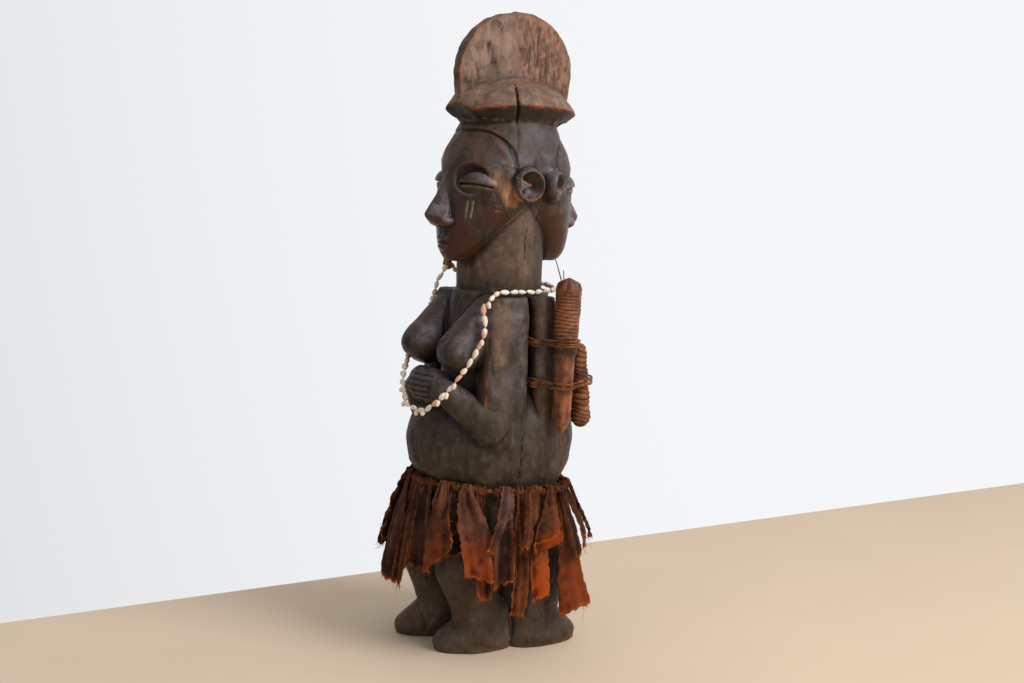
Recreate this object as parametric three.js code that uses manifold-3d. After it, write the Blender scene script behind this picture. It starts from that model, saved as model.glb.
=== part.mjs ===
// Janus power figure: one carved log with two figures back to back under a shared crest, dressed with
// a string of shells, a skirt of torn cloth strips and a wrapped bundle tied to one arm.
// Millimetres, +Z up. The front figure looks along -Y, the rear figure along +Y, and the side that is
// dressed with the bundle is +X. The origin is under the middle of the log, on the ground.
import * as THREE from "three";
import { mergeVertices } from "three/addons/utils/BufferGeometryUtils.js";
import Module from "manifold-3d";

const wasm = await Module();
wasm.setup();

// Driving dimensions of the log.
const HEIGHT = 760;
const SHOULDER_Z = 434;
const ARM_TOP_Z = 430;
const HEAD_TOP_Z = 632;
const HEAD_TOP_R = 54;
const NECK_R = 51;
const NECK_Y = -3;
const CREST_THICK = 14;
const CREST_HALF = 79;
const CREST_MID_Y = 4.5;
const CREST_MID_Z = 690;
const BRIM_Z = 650;
const BRIM_HALF_X = 61;
const BRIM_HALF_Y = 79;
const BRIM_MID_Y = 4;
const BRIM_CORNER = 64;
const EYE_Z = 556;
const SLOT_X = 50;
const SLOT_Z = 350;
const SLOT_WIDE = 6;
const SLOT_TALL = 90;

const NEAR = 1;
const AWAY = -1;
const BOTH_SIDES = [NEAR, AWAY];
const FRONT = 1;
const REAR = -1;
const BOTH_FACES = [FRONT, REAR];

const WOOD = { color: 0x3a2a22, roughness: 0.5, metalness: 0 };
const SHELL = { color: 0xe8d8c4, roughness: 0.45, metalness: 0 };
const CLOTH = { color: 0x6e3520, roughness: 0.9, metalness: 0 };
const FIBRE = { color: 0x5b3522, roughness: 0.85, metalness: 0 };
const BARK = { color: 0x7d4126, roughness: 0.7, metalness: 0 };
const QUILL = { color: 0x2c2a24, roughness: 0.5, metalness: 0 };

function toSolid(geometry) {
  const bare = geometry.clone();
  bare.deleteAttribute("normal");
  bare.deleteAttribute("uv");
  const merged = mergeVertices(bare, 1e-4);
  const mesh = new wasm.Mesh({
    numProp: 3,
    vertProperties: new Float32Array(merged.attributes.position.array),
    triVerts: new Uint32Array(merged.index.array),
  });
  mesh.merge();
  return new wasm.Manifold(mesh);
}

function toGeometry(solid) {
  const mesh = solid.getMesh();
  const geometry = new THREE.BufferGeometry();
  geometry.setAttribute("position", new THREE.BufferAttribute(new Float32Array(mesh.vertProperties), 3));
  geometry.setIndex(new THREE.BufferAttribute(new Uint32Array(mesh.triVerts), 1));
  geometry.computeVertexNormals();
  return geometry;
}

function join(parts) {
  return parts.reduce((whole, part) => whole.add(part));
}

// A ball stretched to half sizes, tilted about X by tilt and then about Z by turn, in degrees.
function ellipsoid(at, half, { tilt = 0, turn = 0, around = 14, rings = 9 } = {}) {
  const shape = new THREE.SphereGeometry(1, around, rings);
  shape.rotateX(Math.PI / 2);
  shape.scale(...half);
  shape.rotateX(THREE.MathUtils.degToRad(tilt));
  shape.rotateZ(THREE.MathUtils.degToRad(turn));
  shape.translate(...at);
  return toSolid(shape);
}

// A straight limb with round ends, its radius running from one end's to the other's. The section is
// squashed by flat across the limb, along the limb's own second axis.
function limb(from, to, rFrom, rTo, { flat = 1, sides = 12, capRings = 3 } = {}) {
  const a = new THREE.Vector3(...from);
  const b = new THREE.Vector3(...to);
  const length = a.distanceTo(b);
  const lean = Math.asin((rFrom - rTo) / length);
  const profile = [];
  for (let i = 0; i <= capRings; i++) {
    const angle = -Math.PI / 2 + ((Math.PI / 2 + lean) * i) / capRings;
    profile.push(new THREE.Vector2(Math.max(0, rFrom * Math.cos(angle)), rFrom * Math.sin(angle)));
  }
  for (let i = 0; i <= capRings; i++) {
    const angle = lean + ((Math.PI / 2 - lean) * i) / capRings;
    profile.push(new THREE.Vector2(Math.max(0, rTo * Math.cos(angle)), length + rTo * Math.sin(angle)));
  }
  profile[0].x = 0;
  profile[profile.length - 1].x = 0;
  const shape = new THREE.LatheGeometry(profile, sides);
  shape.scale(flat, 1, 1);
  const along = b.clone().sub(a).normalize();
  shape.applyQuaternion(new THREE.Quaternion().setFromUnitVectors(new THREE.Vector3(0, 1, 0), along));
  shape.translate(...from);
  return toSolid(shape);
}

// A form built up from level sections. Each section is a rounded oval: z, the middle x and y, the half
// width in x, the half depth in y, and a power above 2 for a squarer outline. Where lift is given, each
// section follows it by its own share.
function loft(sections, sides = 20, lift = () => 0) {
  const rows = sections.length - 1;
  const shape = new THREE.CylinderGeometry(1, 1, 1, sides, rows);
  const place = shape.attributes.position;
  for (let i = 0; i < place.count; i++) {
    const row = Math.round((place.getY(i) + 0.5) * rows);
    const { z, x = 0, y = 0, wide, deep, power = 2, share = 0 } = sections[row];
    const c = place.getX(i);
    const s = -place.getZ(i);
    const radius = Math.hypot(c, s) < 0.5 ? 0 : (Math.abs(c) ** power + Math.abs(s) ** power) ** (-1 / power);
    const atX = x + wide * radius * c;
    const atY = y + deep * radius * s;
    place.setXYZ(i, atX, atY, z + share * lift(atX, atY));
  }
  return toSolid(shape);
}

// A flat plate drawn in the Y-Z plane and centred on x = 0.
function platePart(shape, thick, curveSegments) {
  const plate = new THREE.ExtrudeGeometry(shape, { depth: thick, bevelEnabled: false, curveSegments });
  plate.translate(0, 0, -thick / 2);
  plate.rotateY(Math.PI / 2);
  plate.rotateX(Math.PI / 2);
  return plate;
}

// A round or flattened rod along a curve.
function rod(points, radius, { closed = false, sides = 6, steps = 24, tall = 1 } = {}) {
  const path = new THREE.CatmullRomCurve3(points.map((p) => new THREE.Vector3(...p)), closed);
  const section = new THREE.Shape();
  for (let i = 0; i < sides; i++) {
    const angle = (2 * Math.PI * i) / sides;
    const x = radius * Math.cos(angle);
    const y = tall * radius * Math.sin(angle);
    if (i === 0) section.moveTo(x, y);
    else section.lineTo(x, y);
  }
  section.closePath();
  return new THREE.ExtrudeGeometry(section, { steps, extrudePath: path, bevelEnabled: false });
}

function block(at, size, turnZ = 0) {
  const shape = new THREE.BoxGeometry(...size);
  shape.rotateZ(THREE.MathUtils.degToRad(turnZ));
  shape.translate(...at);
  return toSolid(shape);
}

// Crest: an upright disc along the log's front-rear plane, a little narrower where it leaves the brim.
function crest() {
  const outline = new THREE.Shape();
  const foot = 640;
  const footHalf = 74;
  const rise = HEIGHT - CREST_MID_Z;
  outline.moveTo(CREST_MID_Y - footHalf, foot);
  outline.lineTo(CREST_MID_Y + footHalf, foot);
  outline.lineTo(CREST_MID_Y + CREST_HALF, CREST_MID_Z);
  outline.absellipse(CREST_MID_Y, CREST_MID_Z, CREST_HALF, rise, 0, Math.PI, false, 0);
  outline.closePath();
  return toSolid(platePart(outline, CREST_THICK, 16));
}

// How far the brim's edge is lifted by its bearing: a wide lobe over each side and a narrow lobe over each
// face, with a low corner between them.
function brimLift(x, y) {
  const across = Math.abs(x) / BRIM_HALF_X;
  const ahead = Math.abs(y - BRIM_MID_Y) / BRIM_HALF_Y;
  const bearing = THREE.MathUtils.radToDeg(Math.atan2(ahead, across));
  if (bearing < BRIM_CORNER) return 2 - 7.5 * (bearing / BRIM_CORNER) ** 2;
  return 1 - 6.5 * ((90 - bearing) / (90 - BRIM_CORNER)) ** 2;
}

// Brim: a lobed oval that flares from the head, with a roof rising to the crest.
function brim() {
  const y = BRIM_MID_Y;
  return loft(
    [
      { z: HEAD_TOP_Z - 2, y: 1, wide: HEAD_TOP_R - 2, deep: HEAD_TOP_R + 2 },
      { z: BRIM_Z - 2, y, wide: BRIM_HALF_X, deep: BRIM_HALF_Y, power: 2.1, share: 1 },
      { z: BRIM_Z + 3, y, wide: BRIM_HALF_X - 1, deep: BRIM_HALF_Y - 1, power: 2.1, share: 1 },
      { z: BRIM_Z + 18, y, wide: 44, deep: 66, share: 0.8 },
      { z: BRIM_Z + 32, y, wide: 9, deep: 30, share: 0.2 },
    ],
    24,
    brimLift,
  );
}

// One face's half of the double head, as level ovals from the chin up; face is 1 in front, -1 behind.
function faceMask(face) {
  const oval = (z, front, back, wide, power = 2) => ({
    z,
    y: face * -0.5 * (front + back),
    wide,
    deep: 0.5 * (front - back),
    power,
  });
  return loft(
    [
      oval(468, 76, 50, 12),
      oval(474, 83, 42, 22),
      oval(488, 86, 24, 33),
      oval(505, 86, 4, 44),
      oval(525, 84, -20, 55),
      oval(550, 84, -40, 63),
      oval(575, 82, -45, 66),
      oval(598, 75, -45, 63),
      oval(618, 62, -45, 57),
      oval(HEAD_TOP_Z, HEAD_TOP_R - 2, -45, HEAD_TOP_R - 1),
    ],
    16,
  );
}

// Nose: a wedge from the bridge to a blunt tip with broad wings.
function nose(face) {
  const sections = [
    { z: 507, y: -82, wide: 15, deep: 8 },
    { z: 513, y: -86, wide: 18, deep: 17 },
    { z: 521, y: -89, wide: 16, deep: 22 },
    { z: 535, y: -85, wide: 10, deep: 17 },
    { z: 552, y: -78, wide: 8, deep: 12 },
    { z: 566, y: -74, wide: 8, deep: 8 },
  ];
  return loft(sections.map((s) => ({ ...s, y: face * s.y })), 7);
}

function lips(face) {
  return join([
    ellipsoid([0, face * -82, 494], [16, 11, 6], { around: 7, rings: 4 }),
    ellipsoid([0, face * -82, 483.5], [14, 10, 6], { around: 7, rings: 4 }),
  ]);
}

// Eye: a wide lidded almond in a hollow under the brow.
function eyeHollow(face, side) {
  return ellipsoid([side * 36, face * -76, EYE_Z + 1], [29, 16, 24], { turn: face * side * 32, around: 8, rings: 5 });
}

function eyeBall(face, side) {
  return ellipsoid([side * 35, face * -60, EYE_Z - 2], [24, 11, 13], { turn: face * side * 32, around: 8, rings: 4 });
}

// Ears: round cups. The front figure's open to the side, the rear figure's are smaller and turned back.
const FRONT_EAR = { x: 66, y: 13, half: [18, 21, 21], bowlX: 82, bowlY: 16, bowl: [16, 17, 17] };
const REAR_EAR = { x: 60, y: 25, half: [17, 16, 20], bowlX: 72, bowlY: 35, bowl: [15, 14, 16] };

function ear(face, side) {
  const { x, y, half, bowlX, bowlY, bowl } = face === FRONT ? FRONT_EAR : REAR_EAR;
  return {
    shell: ellipsoid([side * x, face * -y, EYE_Z + 4], half, { around: 9, rings: 5 }),
    hollow: ellipsoid([side * bowlX, face * -bowlY, EYE_Z + 4], bowl, { around: 7, rings: 4 }),
  };
}

// Hairline: a groove that arches over each face from ear to ear.
function hairline(face) {
  const points = [];
  const steps = 8;
  for (let i = -steps; i <= steps; i++) {
    const angle = (Math.PI / 2) * (i / steps);
    const z = EYE_Z + 1 + 64 * Math.cos(angle) ** 0.5;
    const y = face * -(28 + 32 * Math.cos(angle) ** 1.9);
    points.push([65 * Math.sin(angle), y, z]);
  }
  return toSolid(rod(points, 2.8, { sides: 3, steps: 12 }));
}

// Trunk: the log itself, from the hips over the round belly to the flat shoulders.
function trunk() {
  return loft(
    [
      { z: 168, wide: 58, deep: 68 },
      { z: 190, wide: 66, deep: 80 },
      { z: 206, y: -1, wide: 72, deep: 91 },
      { z: 226, y: -4, wide: 81, deep: 104 },
      { z: 254, y: -5, wide: 84, deep: 108 },
      { z: 282, y: -4, wide: 79, deep: 102 },
      { z: 306, y: -2, wide: 67, deep: 88 },
      { z: 322, wide: 52, deep: 75 },
      { z: 424, wide: 49, deep: 63 },
      { z: SHOULDER_Z, wide: 47, deep: 59 },
    ],
    16,
  );
}

function neck() {
  return loft(
    [
      { z: SHOULDER_Z - 10, y: NECK_Y, wide: NECK_R, deep: NECK_R },
      { z: 560, y: NECK_Y, wide: NECK_R, deep: NECK_R },
    ],
    16,
  );
}

function breast(side) {
  return limb([side * 41, -44, 408], [side * 40, -80, 367], 22, 25, { sides: 9, capRings: 2 });
}

// The front figure's arm: a thick upper arm, a forearm that rises to the belly and a flat hand.
function frontArm(side) {
  const upper = loft(
    [
      { z: 258, x: side * 64, y: -34, wide: 14, deep: 21 },
      { z: 278, x: side * 62, y: -34, wide: 20, deep: 31, power: 2.4 },
      { z: 340, x: side * 57, y: -32, wide: 19, deep: 31, power: 2.6 },
      { z: 405, x: side * 54, y: -29, wide: 19, deep: 29, power: 2.6 },
      { z: ARM_TOP_Z, x: side * 50, y: -26, wide: 17, deep: 25, power: 2.4 },
    ],
    9,
  );
  const fore = limb([side * 64, -50, 278], [side * 26, -93, 315], 25, 18, { sides: 8, capRings: 2 });
  const hand = ellipsoid([side * 13, -97.5, 322], [24, 16.5, 21], { turn: side * 20, around: 8, rings: 5 });
  return join([upper, fore, hand]);
}

function fingerGroove(side, index) {
  const z = 312 + 9.5 * index;
  return block([side * 8, -116, z], [24, 12, 1.6], side * 10);
}

// The rear figure's arm: a straight bar with a slot behind it, where the bindings pass.
function rearArm(side) {
  return loft(
    [
      { z: 246, x: side * 68, y: 22, wide: 10, deep: 8 },
      { z: 258, x: side * 66, y: 22, wide: 13, deep: 12, power: 2.4 },
      { z: 290, x: side * 64, y: 22, wide: 14, deep: 13, power: 2.4 },
      { z: 340, x: side * 62.5, y: 21, wide: 11.5, deep: 14, power: 2.6 },
      { z: 410, x: side * 61.5, y: 20, wide: 11.5, deep: 15, power: 2.6 },
      { z: ARM_TOP_Z, x: side * 57, y: 20, wide: 14, deep: 14, power: 2.4 },
    ],
    8,
  );
}

function armRoot(side) {
  return block([side * 48, 20, ARM_TOP_Z - 17], [24, 28, 30]);
}

function armSlot(side) {
  return block([side * SLOT_X, 22, SLOT_Z], [SLOT_WIDE, 70, SLOT_TALL]);
}

// Legs: knees forward, ankles back, one leg for each foot. Their places differ as the carver left them.
const FEET = [
  { face: FRONT, side: NEAR, x: 27, y: -36, turn: 14 },
  { face: FRONT, side: AWAY, x: -46, y: -46, turn: 20 },
  { face: REAR, side: NEAR, x: 43, y: 53, turn: 0 },
  { face: REAR, side: AWAY, x: -43, y: 53, turn: 0 },
];

function leg({ face, side, x, y }) {
  const ankleX = 0.5 * x + 0.5 * side * 36;
  const ankleY = 0.5 * y + 0.5 * face * -34;
  return loft(
    [
      { z: 2, x: ankleX, y: ankleY, wide: 22, deep: 27, power: 2.4 },
      { z: 48, x: ankleX, y: ankleY, wide: 26, deep: 32 },
      { z: 100, x: side * 37, y: face * -60, wide: 29, deep: 37 },
      { z: 140, x: side * 36, y: face * -57, wide: 31, deep: 37 },
      { z: 180, x: side * 31, y: face * -42, wide: 33, deep: 38 },
      { z: 200, x: side * 24, y: face * -30, wide: 30, deep: 36 },
    ],
    9,
  );
}

// Foot: a blunt wedge, highest at the ankle; turn swings the toes out towards -X.
function foot({ face, x, y, turn }) {
  const rows = [
    { z: 0, half: 47, wide: 24, back: 0 },
    { z: 12, half: 49.5, wide: 26, back: 0 },
    { z: 26, half: 44, wide: 25, back: 4 },
    { z: 46, half: 34, wide: 23, back: 11 },
  ];
  const shape = new THREE.CylinderGeometry(1, 1, 1, 12, rows.length - 1);
  const place = shape.attributes.position;
  for (let i = 0; i < place.count; i++) {
    const { z, half, wide, back } = rows[Math.round((place.getY(i) + 0.5) * (rows.length - 1))];
    place.setXYZ(i, wide * place.getX(i), -half * place.getZ(i) + face * back, z);
  }
  shape.rotateZ(THREE.MathUtils.degToRad(-turn));
  shape.translate(x, y, 0);
  return toSolid(shape);
}

function carvedFigure() {
  let figure = join([
    trunk(),
    neck(),
    faceMask(FRONT),
    faceMask(REAR),
    brim(),
    crest(),
    ...FEET.map(leg),
    ...FEET.map(foot),
    ...BOTH_SIDES.map(breast),
    ...BOTH_SIDES.map(frontArm),
    ...BOTH_SIDES.map(rearArm),
    ...BOTH_SIDES.map(armRoot),
  ]);
  for (const face of BOTH_FACES) {
    for (const side of BOTH_SIDES) {
      figure = figure.subtract(eyeHollow(face, side)).add(eyeBall(face, side));
      const { shell, hollow } = ear(face, side);
      figure = figure.add(shell).subtract(hollow);
    }
    figure = figure.add(nose(face)).add(lips(face)).subtract(hairline(face));
  }
  for (const side of BOTH_SIDES) {
    figure = figure.subtract(armSlot(side));
    for (let i = 0; i < 3; i++) figure = figure.subtract(fingerGroove(side, i));
  }
  return figure;
}

// Shell necklace: spindle shells strung tip to tip, with one large seed beside the far side of the neck.
const NECKLACE_ROUTE = [
  [58, 31, 436], [60, 14, 436], [60, -5, 436], [59, -23, 436], [58, -42, 435], [65, -57, 429],
  [62, -64, 419], [67, -65, 407], [69, -66, 395], [70, -70, 383], [69, -76, 370], [64, -84, 353],
  [58, -92, 338], [53, -100, 325], [50, -109, 315], [44, -116, 306], [34, -119, 300], [22, -121, 297],
  [10, -122, 298], [-1, -124, 300], [-11, -121, 307], [-22, -117, 318], [-35, -109, 330], [-49, -98, 341],
  [-62, -87, 349], [-74, -71, 361], [-80, -56, 380], [-78, -50, 402], [-66, -52, 420], [-57, -55, 434],
  [-51, -51, 449], [-51, -42, 459], [-58, -26, 450], [-61, -4, 438], [-58, 26, 436], [-46, 46, 438],
  [-22, 56, 439], [0, 60, 439], [22, 57, 439], [46, 46, 438],
];
const SHELL_STEP = 12.2;
const SHELL_R = 3.5;
const THREAD_R = 1;
const SEED_AT = [-51, -44, 461];

function shellNecklace() {
  const route = new THREE.CatmullRomCurve3(NECKLACE_ROUTE.map((p) => new THREE.Vector3(...p)), true);
  const rings = 2 * Math.round(route.getLength() / SHELL_STEP);
  const around = 4;
  const string = new THREE.TorusGeometry(1, 1, around, rings);
  const place = string.attributes.position;
  const up = new THREE.Vector3(0, 0, 1);
  for (let j = 0; j <= around; j++) {
    for (let i = 0; i <= rings; i++) {
      const ring = i % rings;
      const at = route.getPointAt(ring / rings);
      const run = route.getTangentAt(ring / rings);
      const across = run.clone().cross(up).normalize();
      const rise = across.clone().cross(run);
      const angle = (2 * Math.PI * (j % around)) / around;
      const radius = ring % 2 === 0 ? THREAD_R : SHELL_R;
      at.addScaledVector(across, radius * Math.cos(angle)).addScaledVector(rise, radius * Math.sin(angle));
      place.setXYZ(j * (rings + 1) + i, at.x, at.y, at.z);
    }
  }
  return toSolid(string).add(ellipsoid(SEED_AT, [6.5, 6.5, 8.5], { around: 7, rings: 4 }));
}

// Waist cord and skirt. A place on the skirt is given by its bearing round the log, 0 at +X and 90 at
// +Y, and by out, its distance outside the cord's centreline.
const WAIST = { z: 200, dip: 0.07, y: -4, wide: 77, deep: 94, cord: 3.2 };
const CLOTH_THICK = 1.6;
const KNOT_TALL = 8;

// The cord sits lower behind than in front, so a place on the skirt dips towards +Y.
function waistPoint(bearing, out, above) {
  const angle = THREE.MathUtils.degToRad(bearing);
  const y = WAIST.y + (WAIST.deep + out) * Math.sin(angle);
  return [(WAIST.wide + out) * Math.cos(angle), y, WAIST.z + above - WAIST.dip * y];
}

function waistCord() {
  const points = [];
  for (let bearing = 0; bearing < 360; bearing += 15) points.push(waistPoint(bearing, 0, 0));
  return toSolid(rod(points, WAIST.cord, { closed: true, sides: 4, steps: 24 }));
}

// One strip: across u from -0.5 to 0.5, down v from the knot to the torn end. Its far edge swings outwards
// by tilt, in degrees.
function stripPoint({ bearing, lean = 0, top, end, length, out, flare, slant = 0, tilt = 0 }, u, v, lift) {
  const fall = 1 - (1 - v) ** 2;
  const width = top + (end - top) * Math.min(1, 1.6 * v);
  const swing = THREE.MathUtils.degToRad(tilt) * v;
  const spread = out + flare * fall + u * width * Math.sin(swing) + lift;
  const middle = bearing + lean * v;
  const angle = THREE.MathUtils.degToRad(middle);
  const run = Math.hypot((WAIST.wide + spread) * Math.sin(angle), (WAIST.deep + spread) * Math.cos(angle));
  const turn = THREE.MathUtils.radToDeg((u * width * Math.cos(swing)) / run);
  return waistPoint(middle + turn, spread, KNOT_TALL - length * v - slant * u * v);
}

function clothStrip(strip) {
  const wide = strip.end > 30;
  const shape = new THREE.BoxGeometry(1, 1, 1, wide ? 3 : 2, wide ? 4 : 3, 1);
  const place = shape.attributes.position;
  for (let i = 0; i < place.count; i++) {
    const lift = CLOTH_THICK * (place.getZ(i) + 0.5);
    place.setXYZ(i, ...stripPoint(strip, place.getX(i), 0.5 - place.getY(i), lift));
  }
  return toSolid(shape);
}

const INNER = { out: 4.2, flare: 18 };
const OUTER = { out: 8.6, flare: 30 };

// The strips on the side of the bundle and of the front figure, one by one.
const SHOWN_STRIPS = [
  { ...OUTER, bearing: -121, top: 5, end: 5, length: 88, flare: 31 },
  { ...INNER, bearing: -112, top: 12, end: 22, length: 124 },
  { ...OUTER, bearing: -106, lean: 3, top: 14, end: 29, length: 126 },
  { ...INNER, bearing: -97, lean: 2, top: 12, end: 18, length: 106 },
  { ...OUTER, bearing: -87, lean: 1, top: 12, end: 21, length: 126 },
  { ...INNER, bearing: -78, lean: 3, top: 12, end: 20, length: 104 },
  { ...OUTER, bearing: -66, lean: 3, top: 13, end: 42, length: 84, slant: -40 },
  { ...INNER, bearing: -54, lean: 2, top: 12, end: 20, length: 80 },
  { ...OUTER, bearing: -47, lean: 9, top: 15, end: 35, length: 102 },
  { ...INNER, bearing: -37, lean: 7, top: 14, end: 22, length: 128 },
  { ...OUTER, bearing: -17, lean: -11, top: 17, end: 7, length: 68 },
  { ...INNER, bearing: -19, lean: 1, top: 12, end: 20, length: 112 },
  { ...INNER, bearing: -6, lean: 0, top: 12, end: 22, length: 150 },
  { ...OUTER, bearing: 0, lean: -7, top: 9, end: 13, length: 62 },
  { ...INNER, bearing: 8, lean: 0, top: 14, end: 26, length: 130 },
  { ...OUTER, bearing: 18, lean: -13, top: 14, end: 28, length: 68, slant: -20 },
  { ...INNER, bearing: 22, lean: 0, top: 10, end: 12, length: 66 },
  { ...OUTER, bearing: 30, lean: 2, top: 9, end: 11, length: 82 },
  { ...INNER, bearing: 33, lean: 1, top: 14, end: 42, length: 150, flare: 32, slant: -14, tilt: 34 },
  { ...OUTER, bearing: 40, lean: 1, top: 11, end: 13, length: 58 },
  { ...OUTER, bearing: 50, lean: 3, top: 5, end: 5, length: 62, flare: 34 },
];

// The strips round the other side, where the skirt is plainer.
function hiddenStrips() {
  const strips = [];
  const first = 62;
  const last = 226;
  const count = 13;
  for (let i = 0; i < count; i++) {
    const layer = i % 2 === 0 ? OUTER : INNER;
    const bearing = first + ((last - first) * i) / (count - 1);
    const end = 26 + 5 * Math.sin(2.1 * i);
    const length = i < 3 ? 80 : 118 + 24 * Math.sin(1.3 * i + 1);
    const flare = layer.flare + (i < 2 ? -3 : 5);
    strips.push({ ...layer, bearing, top: 14, end, length, flare });
  }
  return strips;
}

// Bundle: a wrapped stick and a ribbed packet, tied to the rear figure's arm on the near side.
const STICK = { top: [88, 37, 455], foot: [91, 33, 271], radius: 14.6, footRadius: 10 };
const PACKET = { top: [73, 68, 372], foot: [78, 72, 281], radius: 8, footRadius: 12 };

function along({ top, foot }, z) {
  const t = (z - foot[2]) / (top[2] - foot[2]);
  return [foot[0] + t * (top[0] - foot[0]), foot[1] + t * (top[1] - foot[1])];
}

function stick() {
  const { top, foot, radius, footRadius } = STICK;
  const rows = [
    [0, 0],
    [0.5, 5],
    [1, 14],
  ];
  const profile = rows.map(([share, z]) => new THREE.Vector2(share * footRadius, z));
  const length = top[2] - foot[2];
  profile.push(new THREE.Vector2(footRadius + 1, length * 0.5));
  profile.push(new THREE.Vector2(radius - 1, length * 0.52));
  profile.push(new THREE.Vector2(radius, length - 14));
  profile.push(new THREE.Vector2(radius * 0.72, length - 4));
  profile.push(new THREE.Vector2(0, length));
  return slung(new THREE.LatheGeometry(profile, 10), STICK);
}

// Ribs of cord wound round the packet.
function packet() {
  const { top, foot, radius, footRadius } = PACKET;
  const length = top[2] - foot[2];
  const ribs = 6;
  const profile = [new THREE.Vector2(0, -10)];
  for (let i = 0; i <= 2 * ribs; i++) {
    const t = i / (2 * ribs);
    const swell = footRadius + (radius - footRadius) * t ** 1.5;
    profile.push(new THREE.Vector2(swell - (i % 2 === 0 ? 1.2 : 0), length * t));
  }
  profile.push(new THREE.Vector2(0, length + 4));
  return slung(new THREE.LatheGeometry(profile, 8), PACKET);
}

// Stands a lathed form, drawn up from its foot along Y, on the line from foot to top.
function slung(shape, { top, foot }) {
  const line = new THREE.Vector3(...top).sub(new THREE.Vector3(...foot)).normalize();
  shape.applyQuaternion(new THREE.Quaternion().setFromUnitVectors(new THREE.Vector3(0, 1, 0), line));
  shape.translate(...foot);
  return toSolid(shape);
}

// Binding: a flat band of cord turns that goes through the slot behind the arm and round the bundle.
const BINDING_THICK = 2.4;

function binding(z, tall, withPacket) {
  const [sx, sy] = along(STICK, z);
  const [px, py] = along(PACKET, z);
  const r = STICK.radius + 0.7;
  const q = PACKET.footRadius + 0.7;
  const turns = [
    [SLOT_X + 1.2, 10],
    [SLOT_X + 1.2, 22],
    [SLOT_X + 1.2, 34],
    withPacket ? [px - 0.9 * q, py - 2] : [sx - 0.9 * r, sy + 0.6 * r],
    withPacket ? [px - 0.4 * q, py + q] : [sx - 0.3 * r, sy + r],
    withPacket ? [px + 0.6 * q, py + 0.8 * q] : [sx + 0.4 * r, sy + 0.9 * r],
    [sx + 0.95 * r, sy + 0.35 * r],
    [sx + 0.9 * r, sy - 0.5 * r],
    [77, 10],
    [72, 4.6],
    [63, 4.4],
    [55, 4.6],
  ];
  const loop = new THREE.CatmullRomCurve3(turns.map(([x, y]) => new THREE.Vector3(x, y, 0)), true, "catmullrom", 0.5);
  const steps = 26;
  const outer = [];
  const inner = [];
  for (let i = 0; i < steps; i++) {
    const at = loop.getPointAt(i / steps);
    const run = loop.getTangentAt(i / steps);
    outer.push(new THREE.Vector2(at.x - run.y * BINDING_THICK, at.y + run.x * BINDING_THICK));
    inner.push(new THREE.Vector2(at.x, at.y));
  }
  return slab(outer, z, tall).subtract(slab(inner, z, tall + 2));
}

// A level slab of the given outline, its middle at z.
function slab(outline, z, tall) {
  const shape = new THREE.ExtrudeGeometry(new THREE.Shape(outline), { depth: tall, bevelEnabled: false });
  shape.translate(0, 0, z - tall / 2);
  return toSolid(shape);
}

function quill(from, to) {
  return toSolid(rod([from, to], 0.9, { sides: 5, steps: 1 }));
}

function named(name, solid, finish) {
  const mesh = new THREE.Mesh(toGeometry(solid), new THREE.MeshStandardMaterial(finish));
  mesh.name = name;
  return mesh;
}

const group = new THREE.Group();
group.add(named("carved_figure", carvedFigure(), WOOD));
group.add(named("shell_necklace", shellNecklace(), SHELL));
group.add(named("waist_cord", waistCord(), FIBRE));
[...SHOWN_STRIPS, ...hiddenStrips()].forEach((strip, index) => {
  const number = String(index + 1).padStart(2, "0");
  group.add(named(`skirt_strip_${number}`, clothStrip(strip), CLOTH));
});
group.add(named("bundle_stick", stick(), BARK));
group.add(named("bundle_packet", packet(), BARK));
group.add(named("upper_binding", binding(378, 8, false), FIBRE));
group.add(named("lower_binding", binding(330, 9, true), FIBRE));
group.add(named("quill_long", quill([66, 50, 424], [53, 41, 474]), QUILL));
group.add(named("quill_short", quill([68, 46, 420], [66, 44, 462]), QUILL));

export default group;
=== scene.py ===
"""Looks of the janus power figure: one carved log, a shell necklace, a skirt of torn cloth and a bundle.

Sizes inside the carving code are in millimetres, in the frame's axes: the front figure looks along -Y,
the rear figure along +Y, and the bundle is on +X. Blender objects are in metres.
"""

import math

import bpy
import numpy as np
import openvdb
from mathutils import Matrix, Vector


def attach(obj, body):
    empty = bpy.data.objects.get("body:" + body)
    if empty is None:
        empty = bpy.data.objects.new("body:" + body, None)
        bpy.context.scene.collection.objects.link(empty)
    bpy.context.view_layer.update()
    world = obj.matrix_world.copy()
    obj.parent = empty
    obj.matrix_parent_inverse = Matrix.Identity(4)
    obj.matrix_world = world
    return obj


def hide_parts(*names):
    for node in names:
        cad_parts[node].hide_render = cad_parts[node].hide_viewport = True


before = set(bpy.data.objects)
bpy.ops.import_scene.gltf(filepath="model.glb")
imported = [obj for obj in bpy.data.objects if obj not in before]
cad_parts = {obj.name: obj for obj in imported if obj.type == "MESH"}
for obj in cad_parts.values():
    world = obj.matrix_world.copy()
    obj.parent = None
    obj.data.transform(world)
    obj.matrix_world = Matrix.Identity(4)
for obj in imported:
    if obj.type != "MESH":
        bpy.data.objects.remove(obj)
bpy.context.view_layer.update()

MM = 0.001
NEAR, AWAY = 1, -1
FRONT, REAR = 1, -1
SIDES = (NEAR, AWAY)
FACES = (FRONT, REAR)

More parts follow.
